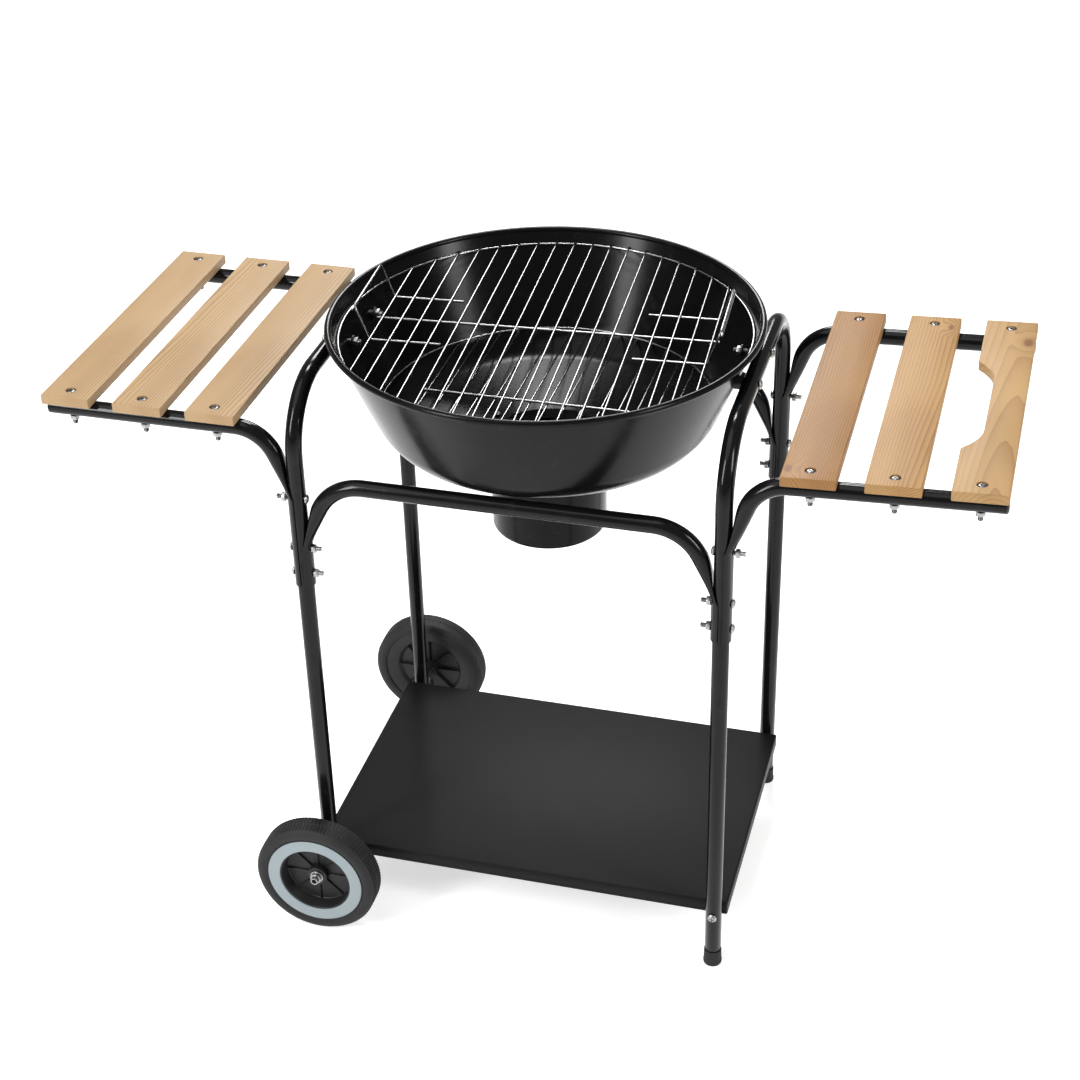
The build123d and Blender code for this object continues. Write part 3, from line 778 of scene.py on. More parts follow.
class TubePen:
    """Draws a round tube or wire the way a bender does: straight runs, bends and pressed ends."""

    def __init__(self, form: Form, start: Vector, heading: Vector, radius: float, sides: int = 32) -> None:
        """Start a capped tube at a point.

        Args:
            form: the form that gets the tube.
            start: the middle of its first end.
            heading: the way it goes.
            radius: its radius.
            sides: how many flat strips go round it.
        """
        self.bm = form.bm
        self.spot = Vector(start)
        self.heading = Vector(heading).normalized()
        self.radius = radius
        made = bmesh.ops.create_circle(
            self.bm, cap_ends=True, segments=sides, radius=radius, matrix=facing(self.spot, self.heading)
        )
        self._take(made["verts"])

    def _take(self, geometry: Iterable[bmesh.types.BMElem]) -> None:
        """Keep the open end's vertices and edges out of some geometry."""
        self.verts = [part for part in geometry if isinstance(part, bmesh.types.BMVert)]
        ends = set(self.verts)
        links = {edge for vert in self.verts for edge in vert.link_edges}
        self.rim = [edge for edge in links if ends.issuperset(edge.verts)]

    def run(self, length: float) -> TubePen:
        """Go straight on."""
        self._take(bmesh.ops.extrude_edge_only(self.bm, edges=self.rim)["geom"])
        bmesh.ops.translate(self.bm, verts=self.verts, vec=self.heading * length)
        self.spot = self.spot + self.heading * length
        return self

    def run_to(self, along: Vector, place: float) -> TubePen:
        """Go straight on until the coordinate along an axis has a value."""
        return self.run((place - self.spot.dot(along)) / self.heading.dot(along))

    def bend(self, radius: float, degrees: float, toward: Vector, steps: int = 14) -> TubePen:
        """Bend about a centre that lies in a direction square to the heading.

        Args:
            radius: of the bend, to the tube's middle.
            degrees: how far it turns.
            toward: a direction, roughly, in which the centre lies.
            steps: how many straight pieces the bend gets.

        Returns:
            This pen.
        """
        square = (toward - self.heading * toward.dot(self.heading)).normalized()
        centre = self.spot + square * radius
        axis = self.heading.cross(square)
        angle = math.radians(degrees)
        made = bmesh.ops.spin(
            self.bm,
            geom=self.verts + self.rim,
            cent=centre,
            axis=axis,
            dvec=(0, 0, 0),
            angle=angle,
            steps=steps,
            use_merge=False,
        )
        self._take(made["geom_last"])
        turn = Matrix.Rotation(angle, 3, axis)
        self.spot = centre + turn @ (self.spot - centre)
        self.heading = turn @ self.heading
        return self

    def press(self, shape: Callable[[float, float], Vector], outward: Vector, steps: int) -> TubePen:
        """Go on with a changing section.

        Args:
            shape: gives a point for how far along it is (0 to 1) and the angle round the section.
            outward: the direction, roughly, in which the section's angle is a quarter turn.
            steps: how many rings there are.
        """
        sideways = self.heading.cross(outward).normalized()
        outer = sideways.cross(self.heading)
        angles = {}
        for vert in self.verts:
            arm = vert.co - self.spot
            angles[vert] = math.atan2(arm.dot(outer), arm.dot(sideways))
        for step in range(1, steps + 1):
            before = set(self.verts)
            self._take(bmesh.ops.extrude_edge_only(self.bm, edges=self.rim)["geom"])
            for vert in self.verts:
                below = next(other for edge in vert.link_edges if (other := edge.other_vert(vert)) in before)
                angles[vert] = angles[below]
                vert.co = shape(step / steps, angles[vert])
        return self

    def close(self) -> None:
        """Cap the open end."""
        bmesh.ops.edgeloop_fill(self.bm, edges=self.rim)


# ---------------------------------------------------------------- fasteners
@dataclass
class Fasteners:
    """Pan-headed screws with cross recesses, hexagon nuts, and every set of them on the grill."""

    head_radius: float = 5.6 * MM
    head_height: float = 3.2 * MM
    shank_radius: float = 3.0 * MM
    pitch: float = 1.0 * MM
    thread_depth: float = 0.45 * MM
    slot_width: float = 1.2 * MM
    slot_depth: float = 2.4 * MM
    nut_flat: float = 10.0 * MM
    nut_height: float = 5.0 * MM
    corner_heights: tuple[float, ...] = (506 * MM, 540 * MM)
    upper_height: float = 607 * MM
    shell: float = 12.25 * MM
    shell_sheet: float = 2.2 * MM
    corner_length: float = 36 * MM
    slat_length: float = 40 * MM
    bowl_length: float = 45 * MM
    bowl_thread: float = 22 * MM
    tray_length: float = 30 * MM

    def screw(self, length: float, thread: float = 16 * MM) -> Form:
        """Return a screw with its head up along Z and its seat at the origin.

        Args:
            length: of the shank.
            thread: how much of the shank's end is threaded.
        """
        head = rounded(
            [
                (0.0, self.head_height),
                (0.62 * self.head_radius, self.head_height),
                (self.head_radius, 0.35 * self.head_height),
                (self.head_radius, 0.0),
                (self.shank_radius, 0.0),
            ],
            [2.2 * MM, 0.7 * MM, 0.2 * MM],
            4,
        )
        outline = [*head, (self.shank_radius, thread - length)]
        for turn in range(int(thread / self.pitch) - 1):
            top = thread - length - turn * self.pitch
            outline.append((self.shank_radius - self.thread_depth, top - 0.4 * self.pitch))
            outline.append((self.shank_radius, top - 0.85 * self.pitch))
        outline += [(self.shank_radius - 0.7 * MM, -length), (0.0, -length)]
        form = Form().lathe(outline, 24)
        over = Matrix.Translation(UP * (self.head_height - self.slot_depth / 2 + 0.4 * MM))
        for turn in (0, 90):
            place = over @ Matrix.Rotation(math.radians(turn), 4, "Z")
            form.carve(Form().block((1.15 * self.head_radius, self.slot_width, self.slot_depth), place))
        return form

    def nut(self) -> Form:
        """Return a nut whose lower face is at the origin and whose hole runs along Z."""
        form = Form()
        radius = self.nut_flat / math.sqrt(3)
        place = Matrix.Translation(UP * self.nut_height / 2)
        bmesh.ops.create_cone(
            form.bm,
            cap_ends=True,
            segments=6,
            radius1=radius,
            radius2=radius,
            depth=self.nut_height,
            matrix=place,
        )
        form.soften(form.bm.edges, 0.5 * MM, 2)
        bore = Form()
        bmesh.ops.create_cone(
            bore.bm,
            cap_ends=True,
            segments=24,
            radius1=self.shank_radius + 0.05 * MM,
            radius2=self.shank_radius + 0.05 * MM,
            depth=3 * self.nut_height,
            matrix=place,
        )
        return form.carve(bore)

    def deliver(self, node: str, template: Form, places: Iterable[Matrix], finish: Finish = ZINC) -> None:
        """Put a copy of a template at each place, as one piece that stands for a node.

        Args:
            node: the node of the frame.
            template: one screw or nut.
            places: where each copy goes.
            finish: its plating.
        """
        form = Form()
        for index, place in enumerate(places):
            form.join(template, place @ Matrix.Rotation(0.9 * index, 4, "Z"))
        form.deliver(f"{node}_zinc", Body.TROLLEY, finish, [node])

    def corners(self, legs: Legs, nut: Form) -> None:
        """Build the bolts that hold the pressed ends against the legs."""
        screw_places, nut_places = [], []
        for side in Side:
            for row in Row:
                x, y, out = side.value * legs.x, row.value * legs.y, ALONG_X * side.value
                for height in self.corner_heights:
                    screw_places.append(facing((x + side.value * self.shell, y, height), out))
                    nut_places.append(facing((x - side.value * self.shell, y, height), -out))
                seat = x - side.value * legs.radius
                screw_places.append(facing((seat, y, self.upper_height), -out))
                seat = x + side.value * (self.shell + self.shell_sheet)
                nut_places.append(facing((seat, y, self.upper_height), out))
        self.deliver("corner_bolts", self.screw(self.corner_length), screw_places)
        self.deliver("corner_nuts", nut, nut_places)

    def boards(self, legs: Legs, shelves: Sequence[Shelf], nut: Form) -> None:
        """Build the screws that hold the boards on the arms.

        Args:
            legs: give the arms' places and radius.
            shelves: both of them.
            nut: one nut.
        """
        screw_places, nut_places = [], []
        for shelf in shelves:
            for middle in shelf.slat_middles:
                for row in Row:
                    over = Vector((middle.x, row.value * legs.y, middle.z))
                    seat = over + shelf.normal * (shelf.thickness / 2 - shelf.sink)
                    under = over - shelf.normal * (shelf.thickness / 2 + 2 * legs.radius)
                    screw_places.append(facing(seat, shelf.normal))
                    nut_places.append(facing(under, -shelf.normal))
        self.deliver("slat_screws", self.screw(self.slat_length), screw_places, DULL_ZINC)
        self.deliver("slat_nuts", nut, nut_places)

    def kettle(self, legs: Legs, bowl: Bowl, nut: Form) -> None:
        """Build the bolts that hold the bowl between the hoops.

        Args:
            legs: give the hoops' place and radius.
            bowl: gives the bolts' spacing and the washers' height.
            nut: one nut.
        """
        washers = Span.of("bowl_washers")
        inner = washers.high.x - bowl.washer_height
        screw_places, nut_places = [], []
        for side in Side:
            for row in Row:
                y, out = row.value * bowl.bolt_y, ALONG_X * side.value
                height = washers.middle.z
                screw_places.append(facing((side.value * (legs.x + legs.radius), y, height), out))
                nut_places.append(facing((side.value * inner, y, height), -out))
        self.deliver("bowl_bolts", self.screw(self.bowl_length, self.bowl_thread), screw_places)
        self.deliver("bowl_nuts", nut, nut_places)

    def tray(self, legs: Legs, nut: Form) -> None:
        """Build the screws that hold the tray at the side on feet."""
        heads, nuts = Span.of("tray_screws"), Span.of("tray_nuts")
        screw_places, nut_places = [], []
        for row in Row:
            seat = row.value * (heads.high.y - self.head_height)
            screw_places.append(facing((legs.x, seat, heads.middle.z), ALONG_Y * row.value))
            seat = row.value * nuts.high.y
            nut_places.append(facing((legs.x, seat, heads.middle.z), ALONG_Y * -row.value))
        self.deliver("tray_screws", self.screw(self.tray_length), screw_places)
        self.deliver("tray_nuts", nut, nut_places)

    def build(self, legs: Legs, shelves: Sequence[Shelf], bowl: Bowl) -> None:
        """Build every screw and nut.

        Args:
            legs: what the corners and the tray are screwed to.
            shelves: whose boards are screwed down.
            bowl: what the hoops hold.
        """
        nut = self.nut()
        self.corners(legs, nut)
        self.boards(legs, shelves, nut)
        self.kettle(legs, bowl, nut)
        self.tray(legs, nut)


# ---------------------------------------------------------------- trolley
@dataclass
class Legs:
    """The bent hoops that carry the bowl, the straight legs under them, and their caps."""

    hoop_bend: float = 80 * MM
    gap: float = 0.05 * MM
    x: float = field(init=False)
    y: float = field(init=False)
    radius: float = field(init=False)

    def __post_init__(self) -> None:
        """Read the legs' places from the frame."""
        leg = Span.of("rear_right_leg")
        self.x, self.y = leg.middle.x, leg.middle.y
        self.radius = leg.size.x / 2

    def hoop(self, side: Side) -> None:
        """Build the hoop over one pair of legs."""
        node = f"{side.name.lower()}_hoop"
        span = Span.of(node)
        top = span.high.z - self.radius
        form = Form()
        pen = TubePen(form, Vector((side.value * self.x, -self.y, span.low.z)), UP, self.radius)
        pen.run_to(UP, top - self.hoop_bend).bend(self.hoop_bend, 90, ALONG_Y, 20)
        pen.run_to(ALONG_Y, self.y - self.hoop_bend).bend(self.hoop_bend, 90, -UP, 20)
        pen.run_to(UP, span.low.z).close()
        form.deliver(f"{node}_tube", Body.TROLLEY, TUBE_COAT, [node])

    def leg(self, side: Side, row: Row) -> None:
        """Build one straight leg."""
        node = f"{row.name.lower()}_{side.name.lower()}_leg"
        span = Span.of(node)
        form = Form()
        foot = Vector((side.value * self.x, row.value * self.y, span.low.z))
        TubePen(form, foot, UP, self.radius).run_to(UP, span.high.z).close()
        ends = [edge for edge in form.bm.edges if abs(edge.calc_face_angle(0.0)) > 1.0]
        form.soften(ends, 0.25 * MM)
        form.deliver(f"{node}_tube", Body.TROLLEY, TUBE_COAT, [node])

    def caps(self) -> None:
        """Build the rubber feet under the right legs and the plugs in the left ones."""
        feet, plugs = Span.of("foot_caps"), Span.of("leg_plugs")
        outer = feet.size.x / 2
        inner = self.radius + self.gap
        floor = Span.of("rear_right_leg").low.z
        shape = rounded(
            [
                (0.0, 0.0),
                (outer - 0.4 * MM, 0.0),
                (outer, 3 * MM),
                (outer, 5 * MM),
                (outer - 0.5 * MM, 6 * MM),
                (outer - 0.8 * MM, feet.high.z),
                (inner, feet.high.z),
                (inner, floor),
                (0.0, floor),
            ],
            [0.9 * MM, 0.3 * MM, 0.3 * MM, 0.3 * MM, 0.35 * MM, 0.1 * MM, 0.1 * MM],
            3,
        )
        foot = Form().lathe(shape, 48)
        form = Form()
        for row in Row:
            form.join(foot, Matrix.Translation((self.x, row.value * self.y, 0)))
        form.deliver("foot_caps_rubber", Body.TROLLEY, FOOT, ["foot_caps"])

        cap = Span.of("rear_left_leg").low.z - plugs.low.z
        plug = Form().lathe(domed_plug(self.radius, cap), 40)
        form = Form()
        for row in Row:
            form.join(plug, facing((-self.x, row.value * self.y, plugs.low.z + cap), -UP))
        form.deliver("leg_plugs_caps", Body.TROLLEY, PLUG, ["leg_plugs"])

    def build(self) -> None:
        """Build the hoops, the legs and their caps."""
        for side in Side:
            self.hoop(side)
            for row in Row:
                self.leg(side, row)
        self.caps()


def domed_plug(radius: float, cap: float) -> list[Point]:
    """Return the outline of a tube's end plug, whose domed cap stands up from the origin."""
    stem, end = radius - 1.3 * MM, -9 * MM
    dome = [(0.0, cap), (0.7 * radius, cap), (radius, 0.45 * cap), (radius, 0.0)]
    shank = [(stem, 0.0), (stem, end), (0.0, end)]
    return rounded(dome + shank, [1.0 * MM, 0.8 * MM, 0.15 * MM, 0.1 * MM, 0.5 * MM], 4)


@dataclass
class PressedEnd:
    """A tube's end pressed flat and double, which hugs a leg from one side."""

    legs: Legs
    side: Side
    row: Row
    outward: float
    top: float
    bottom: float
    inner: float = 10.05 * MM
    sheet: float = 2.2 * MM
    spread: float = 78.0

    def finish(self, pen: TubePen, steps: int = 14) -> None:
        """Press the pen's tube down against the leg and close it at the bottom.

        The outer face goes on smoothly until it hugs the leg; the inner one meets it sooner.
        """
        axis = Vector((self.side.value * self.legs.x, self.row.value * self.legs.y, 0.0))
        out = ALONG_X * self.outward
        spot, heading, radius = pen.spot.copy(), pen.heading.copy(), pen.radius
        sideways = heading.cross(out).normalized()
        outer = sideways.cross(heading)
        spread = math.radians(self.spread) * sideways.y
        outside = self.curve(spot + outer * radius, heading, axis + out * (self.inner + self.sheet))
        inside = self.curve(spot - outer * radius, heading, axis + out * self.inner)

        def crescent(angle: float, height: float) -> Vector:
            """Return the pressed section's point at an angle, on a level."""
            swing = math.cos(angle) * spread
            bulge = math.copysign(abs(math.sin(angle)) ** 0.3, math.sin(angle))
            reach = self.inner + self.sheet / 2 * (1 + bulge)
            level = axis + out * reach * math.cos(swing) + ALONG_Y * reach * math.sin(swing)
            return Vector((level.x, level.y, height))

        def neck(share: float, angle: float) -> Vector:
            """Return a point between the round tube and the crescent."""
            far, near = outside(share), inside(share)
            ring = (far + near) / 2 + (far - near) / 2 * math.sin(angle)
            ring += sideways * radius * (1 + 0.1 * share) * math.cos(angle)
            return ring.lerp(crescent(angle, ring.z), share**3)

        pen.press(neck, out, steps)
        pen.heading = -UP
        pen.run(self.top - self.bottom).close()

    def curve(self, first: Vector, heading: Vector, column: Vector) -> Callable[[float], Vector]:
        """Return a smooth curve that leaves a point along a heading and ends down a column.

        Args:
            first: the point.
            heading: the way it leaves.
            column: a point on the upright line that it ends on.

        Returns:
            The point for each share of the way, 0 to 1.
        """
        last = column + UP * self.top
        corner = first + heading * (last.x - first.x) / heading.x
        return lambda share: first.lerp(corner, share).lerp(corner.lerp(last, share), share)


@dataclass
class CrossTubes:
    """The two tubes that join the hoops, front and rear."""

    legs: Legs
    bend: float = 60 * MM
    turn: float = 62.0
    pressed_top: float = 540 * MM

    def build(self) -> None:
        """Build each tube from its middle outwards, as two halves that meet."""
        for row in Row:
            node = f"{row.name.lower()}_cross_tube"
            span = Span.of(node)
            height = span.high.z - self.legs.radius
            form = Form()
            for side in Side:
                out = ALONG_X * side.value
                middle = Vector((0.0, row.value * self.legs.y, height))
                pen = TubePen(form, middle, out, self.legs.radius)
                reach = self.legs.x - 2 * self.legs.radius - self.bend
                pen.run(reach).bend(self.bend, self.turn, -UP)
                end = PressedEnd(self.legs, side, row, -side.value, self.pressed_top, span.low.z)
                end.finish(pen)
            bmesh.ops.delete(
                form.bm,
                geom=[face for face in form.bm.faces if abs(face.calc_center_median().x) < 0.01 * MM],
                context="FACES_ONLY",
            )
            bmesh.ops.remove_doubles(form.bm, verts=form.bm.verts, dist=0.01 * MM)
            form.deliver(f"{node}_tube", Body.TROLLEY, TUBE_COAT, [node])


@dataclass
class Shelf:
    """One slatted side shelf: two bent arms and three boards."""

    side: Side
    legs: Legs
    bend: float = 50 * MM
    turn: float = 65.0
    bend_x: float = 320 * MM
    pressed_top: float = 608 * MM
    sink: float = 3.4 * MM
    counterbore: float = 6.4 * MM
    edge_round: float = 1.1 * MM
    notch_depth: float = 21 * MM
    notch_floor: float = 118 * MM
    notch_shoulder: float = 44 * MM
    notch_shift: float = -8 * MM
    shoulder_points: int = 9

    def __post_init__(self) -> None:
        """Read the shelf's slope and its boards' size from the frame."""
        self.word = self.side.name.lower()
        spans = [Span.of(f"{self.word}_slat_{place}") for place in ("inner", "middle", "outer")]
        step = spans[1].middle - spans[0].middle
        self.along = step.normalized()
        self.normal = Vector((-self.along.z, 0.0, self.along.x)) * self.side.value
        board = Span.of("left_slat_inner").size
        self.width, self.length, self.thickness = board
        self.slat_middles = [spans[0].middle + step * index for index in range(3)]

    def axis_point(self, x: float) -> Vector:
        """Return the point on the arms' centre line at a place along X, with Y at 0."""
        under = self.slat_middles[0] - self.normal * (self.thickness / 2 + self.legs.radius)
        return under + self.along * (x - under.x) / self.along.x

    def arm(self, row: Row) -> None:
        """Build one arm, from its open tip to the pressed end on the leg."""
        node = f"{row.name.lower()}_{self.word}_arm"
        span = Span.of(node)
        tip_x = span.high.x if self.side is Side.RIGHT else span.low.x
        tip_x -= self.side.value * self.legs.radius * abs(self.along.z)
        across = ALONG_Y * row.value * self.legs.y
        bend_start = self.axis_point(self.side.value * self.bend_x) + across
        tip = self.axis_point(tip_x) + across
        form = Form()
        pen = TubePen(form, tip, bend_start - tip, self.legs.radius)
        pen.run((bend_start - tip).length)
        rise = math.degrees(math.asin(abs(self.along.z)))
        pen.bend(self.bend, self.turn + rise, -UP)
        PressedEnd(self.legs, self.side, row, self.side.value, self.pressed_top, span.low.z).finish(pen)
        form.deliver(f"{node}_tube", Body.TROLLEY, TUBE_COAT, [node])

    def outline(self, notched: bool) -> list[Point]:
        """Return a board's outline, with or without the notch in its inner edge."""
        half_x, half_y = self.width / 2, self.length / 2
        outline = [(half_x, -half_y), (half_x, half_y), (-half_x, half_y)]
        if notched:
            floor = self.notch_floor / 2
            for end in (1, -1):
                steps = range(self.shoulder_points)
                for step in steps if end > 0 else reversed(steps):
                    share = step / (self.shoulder_points - 1)
                    y = self.notch_shift + end * (floor + self.notch_shoulder * (1 - share))
                    outline.append((-half_x + self.notch_depth * (1 - (1 - share) ** 2), y))
        return [*outline, (-half_x, -half_y)]

    def slat(self, index: int, place: str, finish: PineBoard) -> None:
        """Build one board with its two counterbored screw holes.

        Args:
            index: its number, outwards from the legs.
            place: its word in the node's name.
            finish: the wood it is cut from.
        """
        notched = self.side is Side.RIGHT and place == "outer"
        board = Form().slab(self.outline(notched), self.thickness, self.edge_round)
        holes = Form()
        for row in Row:
            top = Vector((0.0, row.value * self.legs.y, self.thickness / 2))
            holes.rod(top - UP * self.sink, top + UP * 5 * MM, self.counterbore, 32)
        board.carve(holes)
        holes = Form()
        for row in Row:
            spot = Vector((0.0, row.value * self.legs.y, 0.0))
            holes.rod(spot - UP * self.thickness, spot + UP * self.thickness, 3.2 * MM, 20)
        board.carve(holes)
        turn = self.along if self.side is Side.RIGHT else -self.along
        rows = Matrix((turn, ALONG_Y, turn.cross(ALONG_Y))).transposed().to_4x4()
        board.moved(Matrix.Translation(self.slat_middles[index]) @ rows)
        node = f"{self.word}_slat_{place}"
        board.deliver(f"{node}_board", Body.TROLLEY, finish, [node])

    def build(self, boards: Sequence[PineBoard]) -> None:
        """Build the arms and the boards."""
        for row in Row:
            self.arm(row)
        for index, place in enumerate(("inner", "middle", "outer")):
            middle = tuple(round(part, 4) for part in self.slat_middles[index])
            self.slat(index, place, replace(boards[index], middle=middle))


def build_arm_plugs(shelves: Sequence[Shelf]) -> None:
    """Build the plugs in the four arms' tips, which end where the frame's own do."""
    span = Span.of("arm_plugs")
    form = Form()
    for shelf in shelves:
        radius = shelf.legs.radius
        cap = 3 * MM
        plug = Form().lathe(domed_plug(radius, cap), 40)
        out = shelf.along if shelf.side is Side.RIGHT else shelf.along * math.copysign(1, -shelf.along.x)
        reach = span.high.x - cap * abs(out.x) - radius * abs(out.z)
        for row in Row:
            tip = shelf.axis_point(shelf.side.value * reach) + ALONG_Y * row.value * shelf.legs.y
            form.join(plug, facing(tip, out))
    form.deliver("arm_plugs_caps", Body.TROLLEY, PLUG, ["arm_plugs"])


@dataclass
class Tray:
    """The lower tray: a sheet with its four edges folded down."""

    sheet: float = 1.2 * MM
    fold: float = 2.4 * MM

    def build(self) -> None:
        """Fold a box without a floor and give the sheet its thickness inwards."""
        span = Span.of("tray")
        form = Form()
        place = Matrix.Translation(span.middle) @ Matrix.Diagonal((*span.size, 1.0))
        bmesh.ops.create_cube(form.bm, size=1.0, matrix=place)
        floor = min(form.bm.faces, key=lambda face: face.calc_center_median().z)
        bmesh.ops.delete(form.bm, geom=[floor], context="FACES_ONLY")
        folds = [edge for edge in form.bm.edges if not edge.is_boundary]
        form.soften(folds, self.fold, 5)
        piece = form.deliver("tray_sheet", Body.TROLLEY, SHEET_COAT, ["tray"])
        wall = piece.modifiers.new("sheet", "SOLIDIFY")
        wall.thickness = self.sheet
        wall.offset = -1.0


# ---------------------------------------------------------------- kettle
@dataclass
class Bowl:
    """The enamelled kettle, the washers on its bolts and the can that hangs under it."""

    wall: float = 1.2 * MM
    bead: float = 4.0 * MM
    corner: Point = (194.4 * MM, 643 * MM)
    corner_radius: float = 60 * MM
    floor: Point = (80 * MM, 610.8 * MM)
    hole: float = 58 * MM
    bolt_y: float = 39 * MM
    washer_height: float = 2 * MM
    can_wall: float = 1.2 * MM
    can_bead: float = 1.6 * MM

    def kettle(self) -> None:
        """Build the kettle: a thin wall from the hole in its floor up to the rolled rim."""
        span = Span.of("bowl")
        bead_middle = span.size.x / 2 - self.bead
        height = span.high.z - self.bead
        line = rounded(
            [
                (self.hole, self.floor[1]),
                self.floor,
                self.corner,
                (bead_middle - 1.7 * MM, height),
            ],
            [12 * MM, self.corner_radius],
            18,
        )
        form = Form().lathe(walled(line, self.wall), 160)
        form.join(Form().lathe(loop(bead_middle, height, self.bead, 20), 160))
        form.deliver("bowl_kettle", Body.TROLLEY, ENAMEL, ["bowl"])

    def washers(self) -> None:
        """Build the black washers under the nuts inside the kettle."""
        span = Span.of("bowl_washers")
        radius = span.size.z / 2
        shape = rounded(
            [(3.1 * MM, 0.0), (radius, 0.0), (radius, self.washer_height), (3.1 * MM, self.washer_height)],
            0.5 * MM,
            3,
        )
        washer = Form().lathe(shape, 32)
        form = Form()
        for side in Side:
            for row in Row:
                seat = Vector((side.value * span.high.x, row.value * self.bolt_y, span.middle.z))
                form.join(washer, facing(seat, ALONG_X * -side.value))
        form.deliver("bowl_washers_rings", Body.TROLLEY, PLUG, ["bowl_washers"])

    def can(self) -> None:
        """Build the ash can with its beaded mouth and a pressed ring in its floor."""
        span = Span.of("ash_can")
        radius = span.size.x / 2 - self.can_bead
        low, high = span.low.z, span.high.z - self.can_bead
        line = rounded(
            [
                (0.0, low + 1.2 * MM),
                (0.66 * radius, low + 1.2 * MM),
                (0.72 * radius, low),
                (radius, low),
                (radius, high),
            ],
            [2 * MM, 2 * MM, 7 * MM],
            6,
        )
        outline = walled(line, self.can_wall)
        outline[-1] = (0.0, outline[-1][1])
        form = Form().lathe(outline, 96)
        form.join(Form().lathe(loop(radius, high, self.can_bead, 12), 96))
        form.deliver("ash_can_shell", Body.ASH_CAN, ENAMEL, ["ash_can"])

    def build(self) -> None:
        """Build the kettle, its washers and the can."""
        self.kettle()
        self.washers()
        self.can()


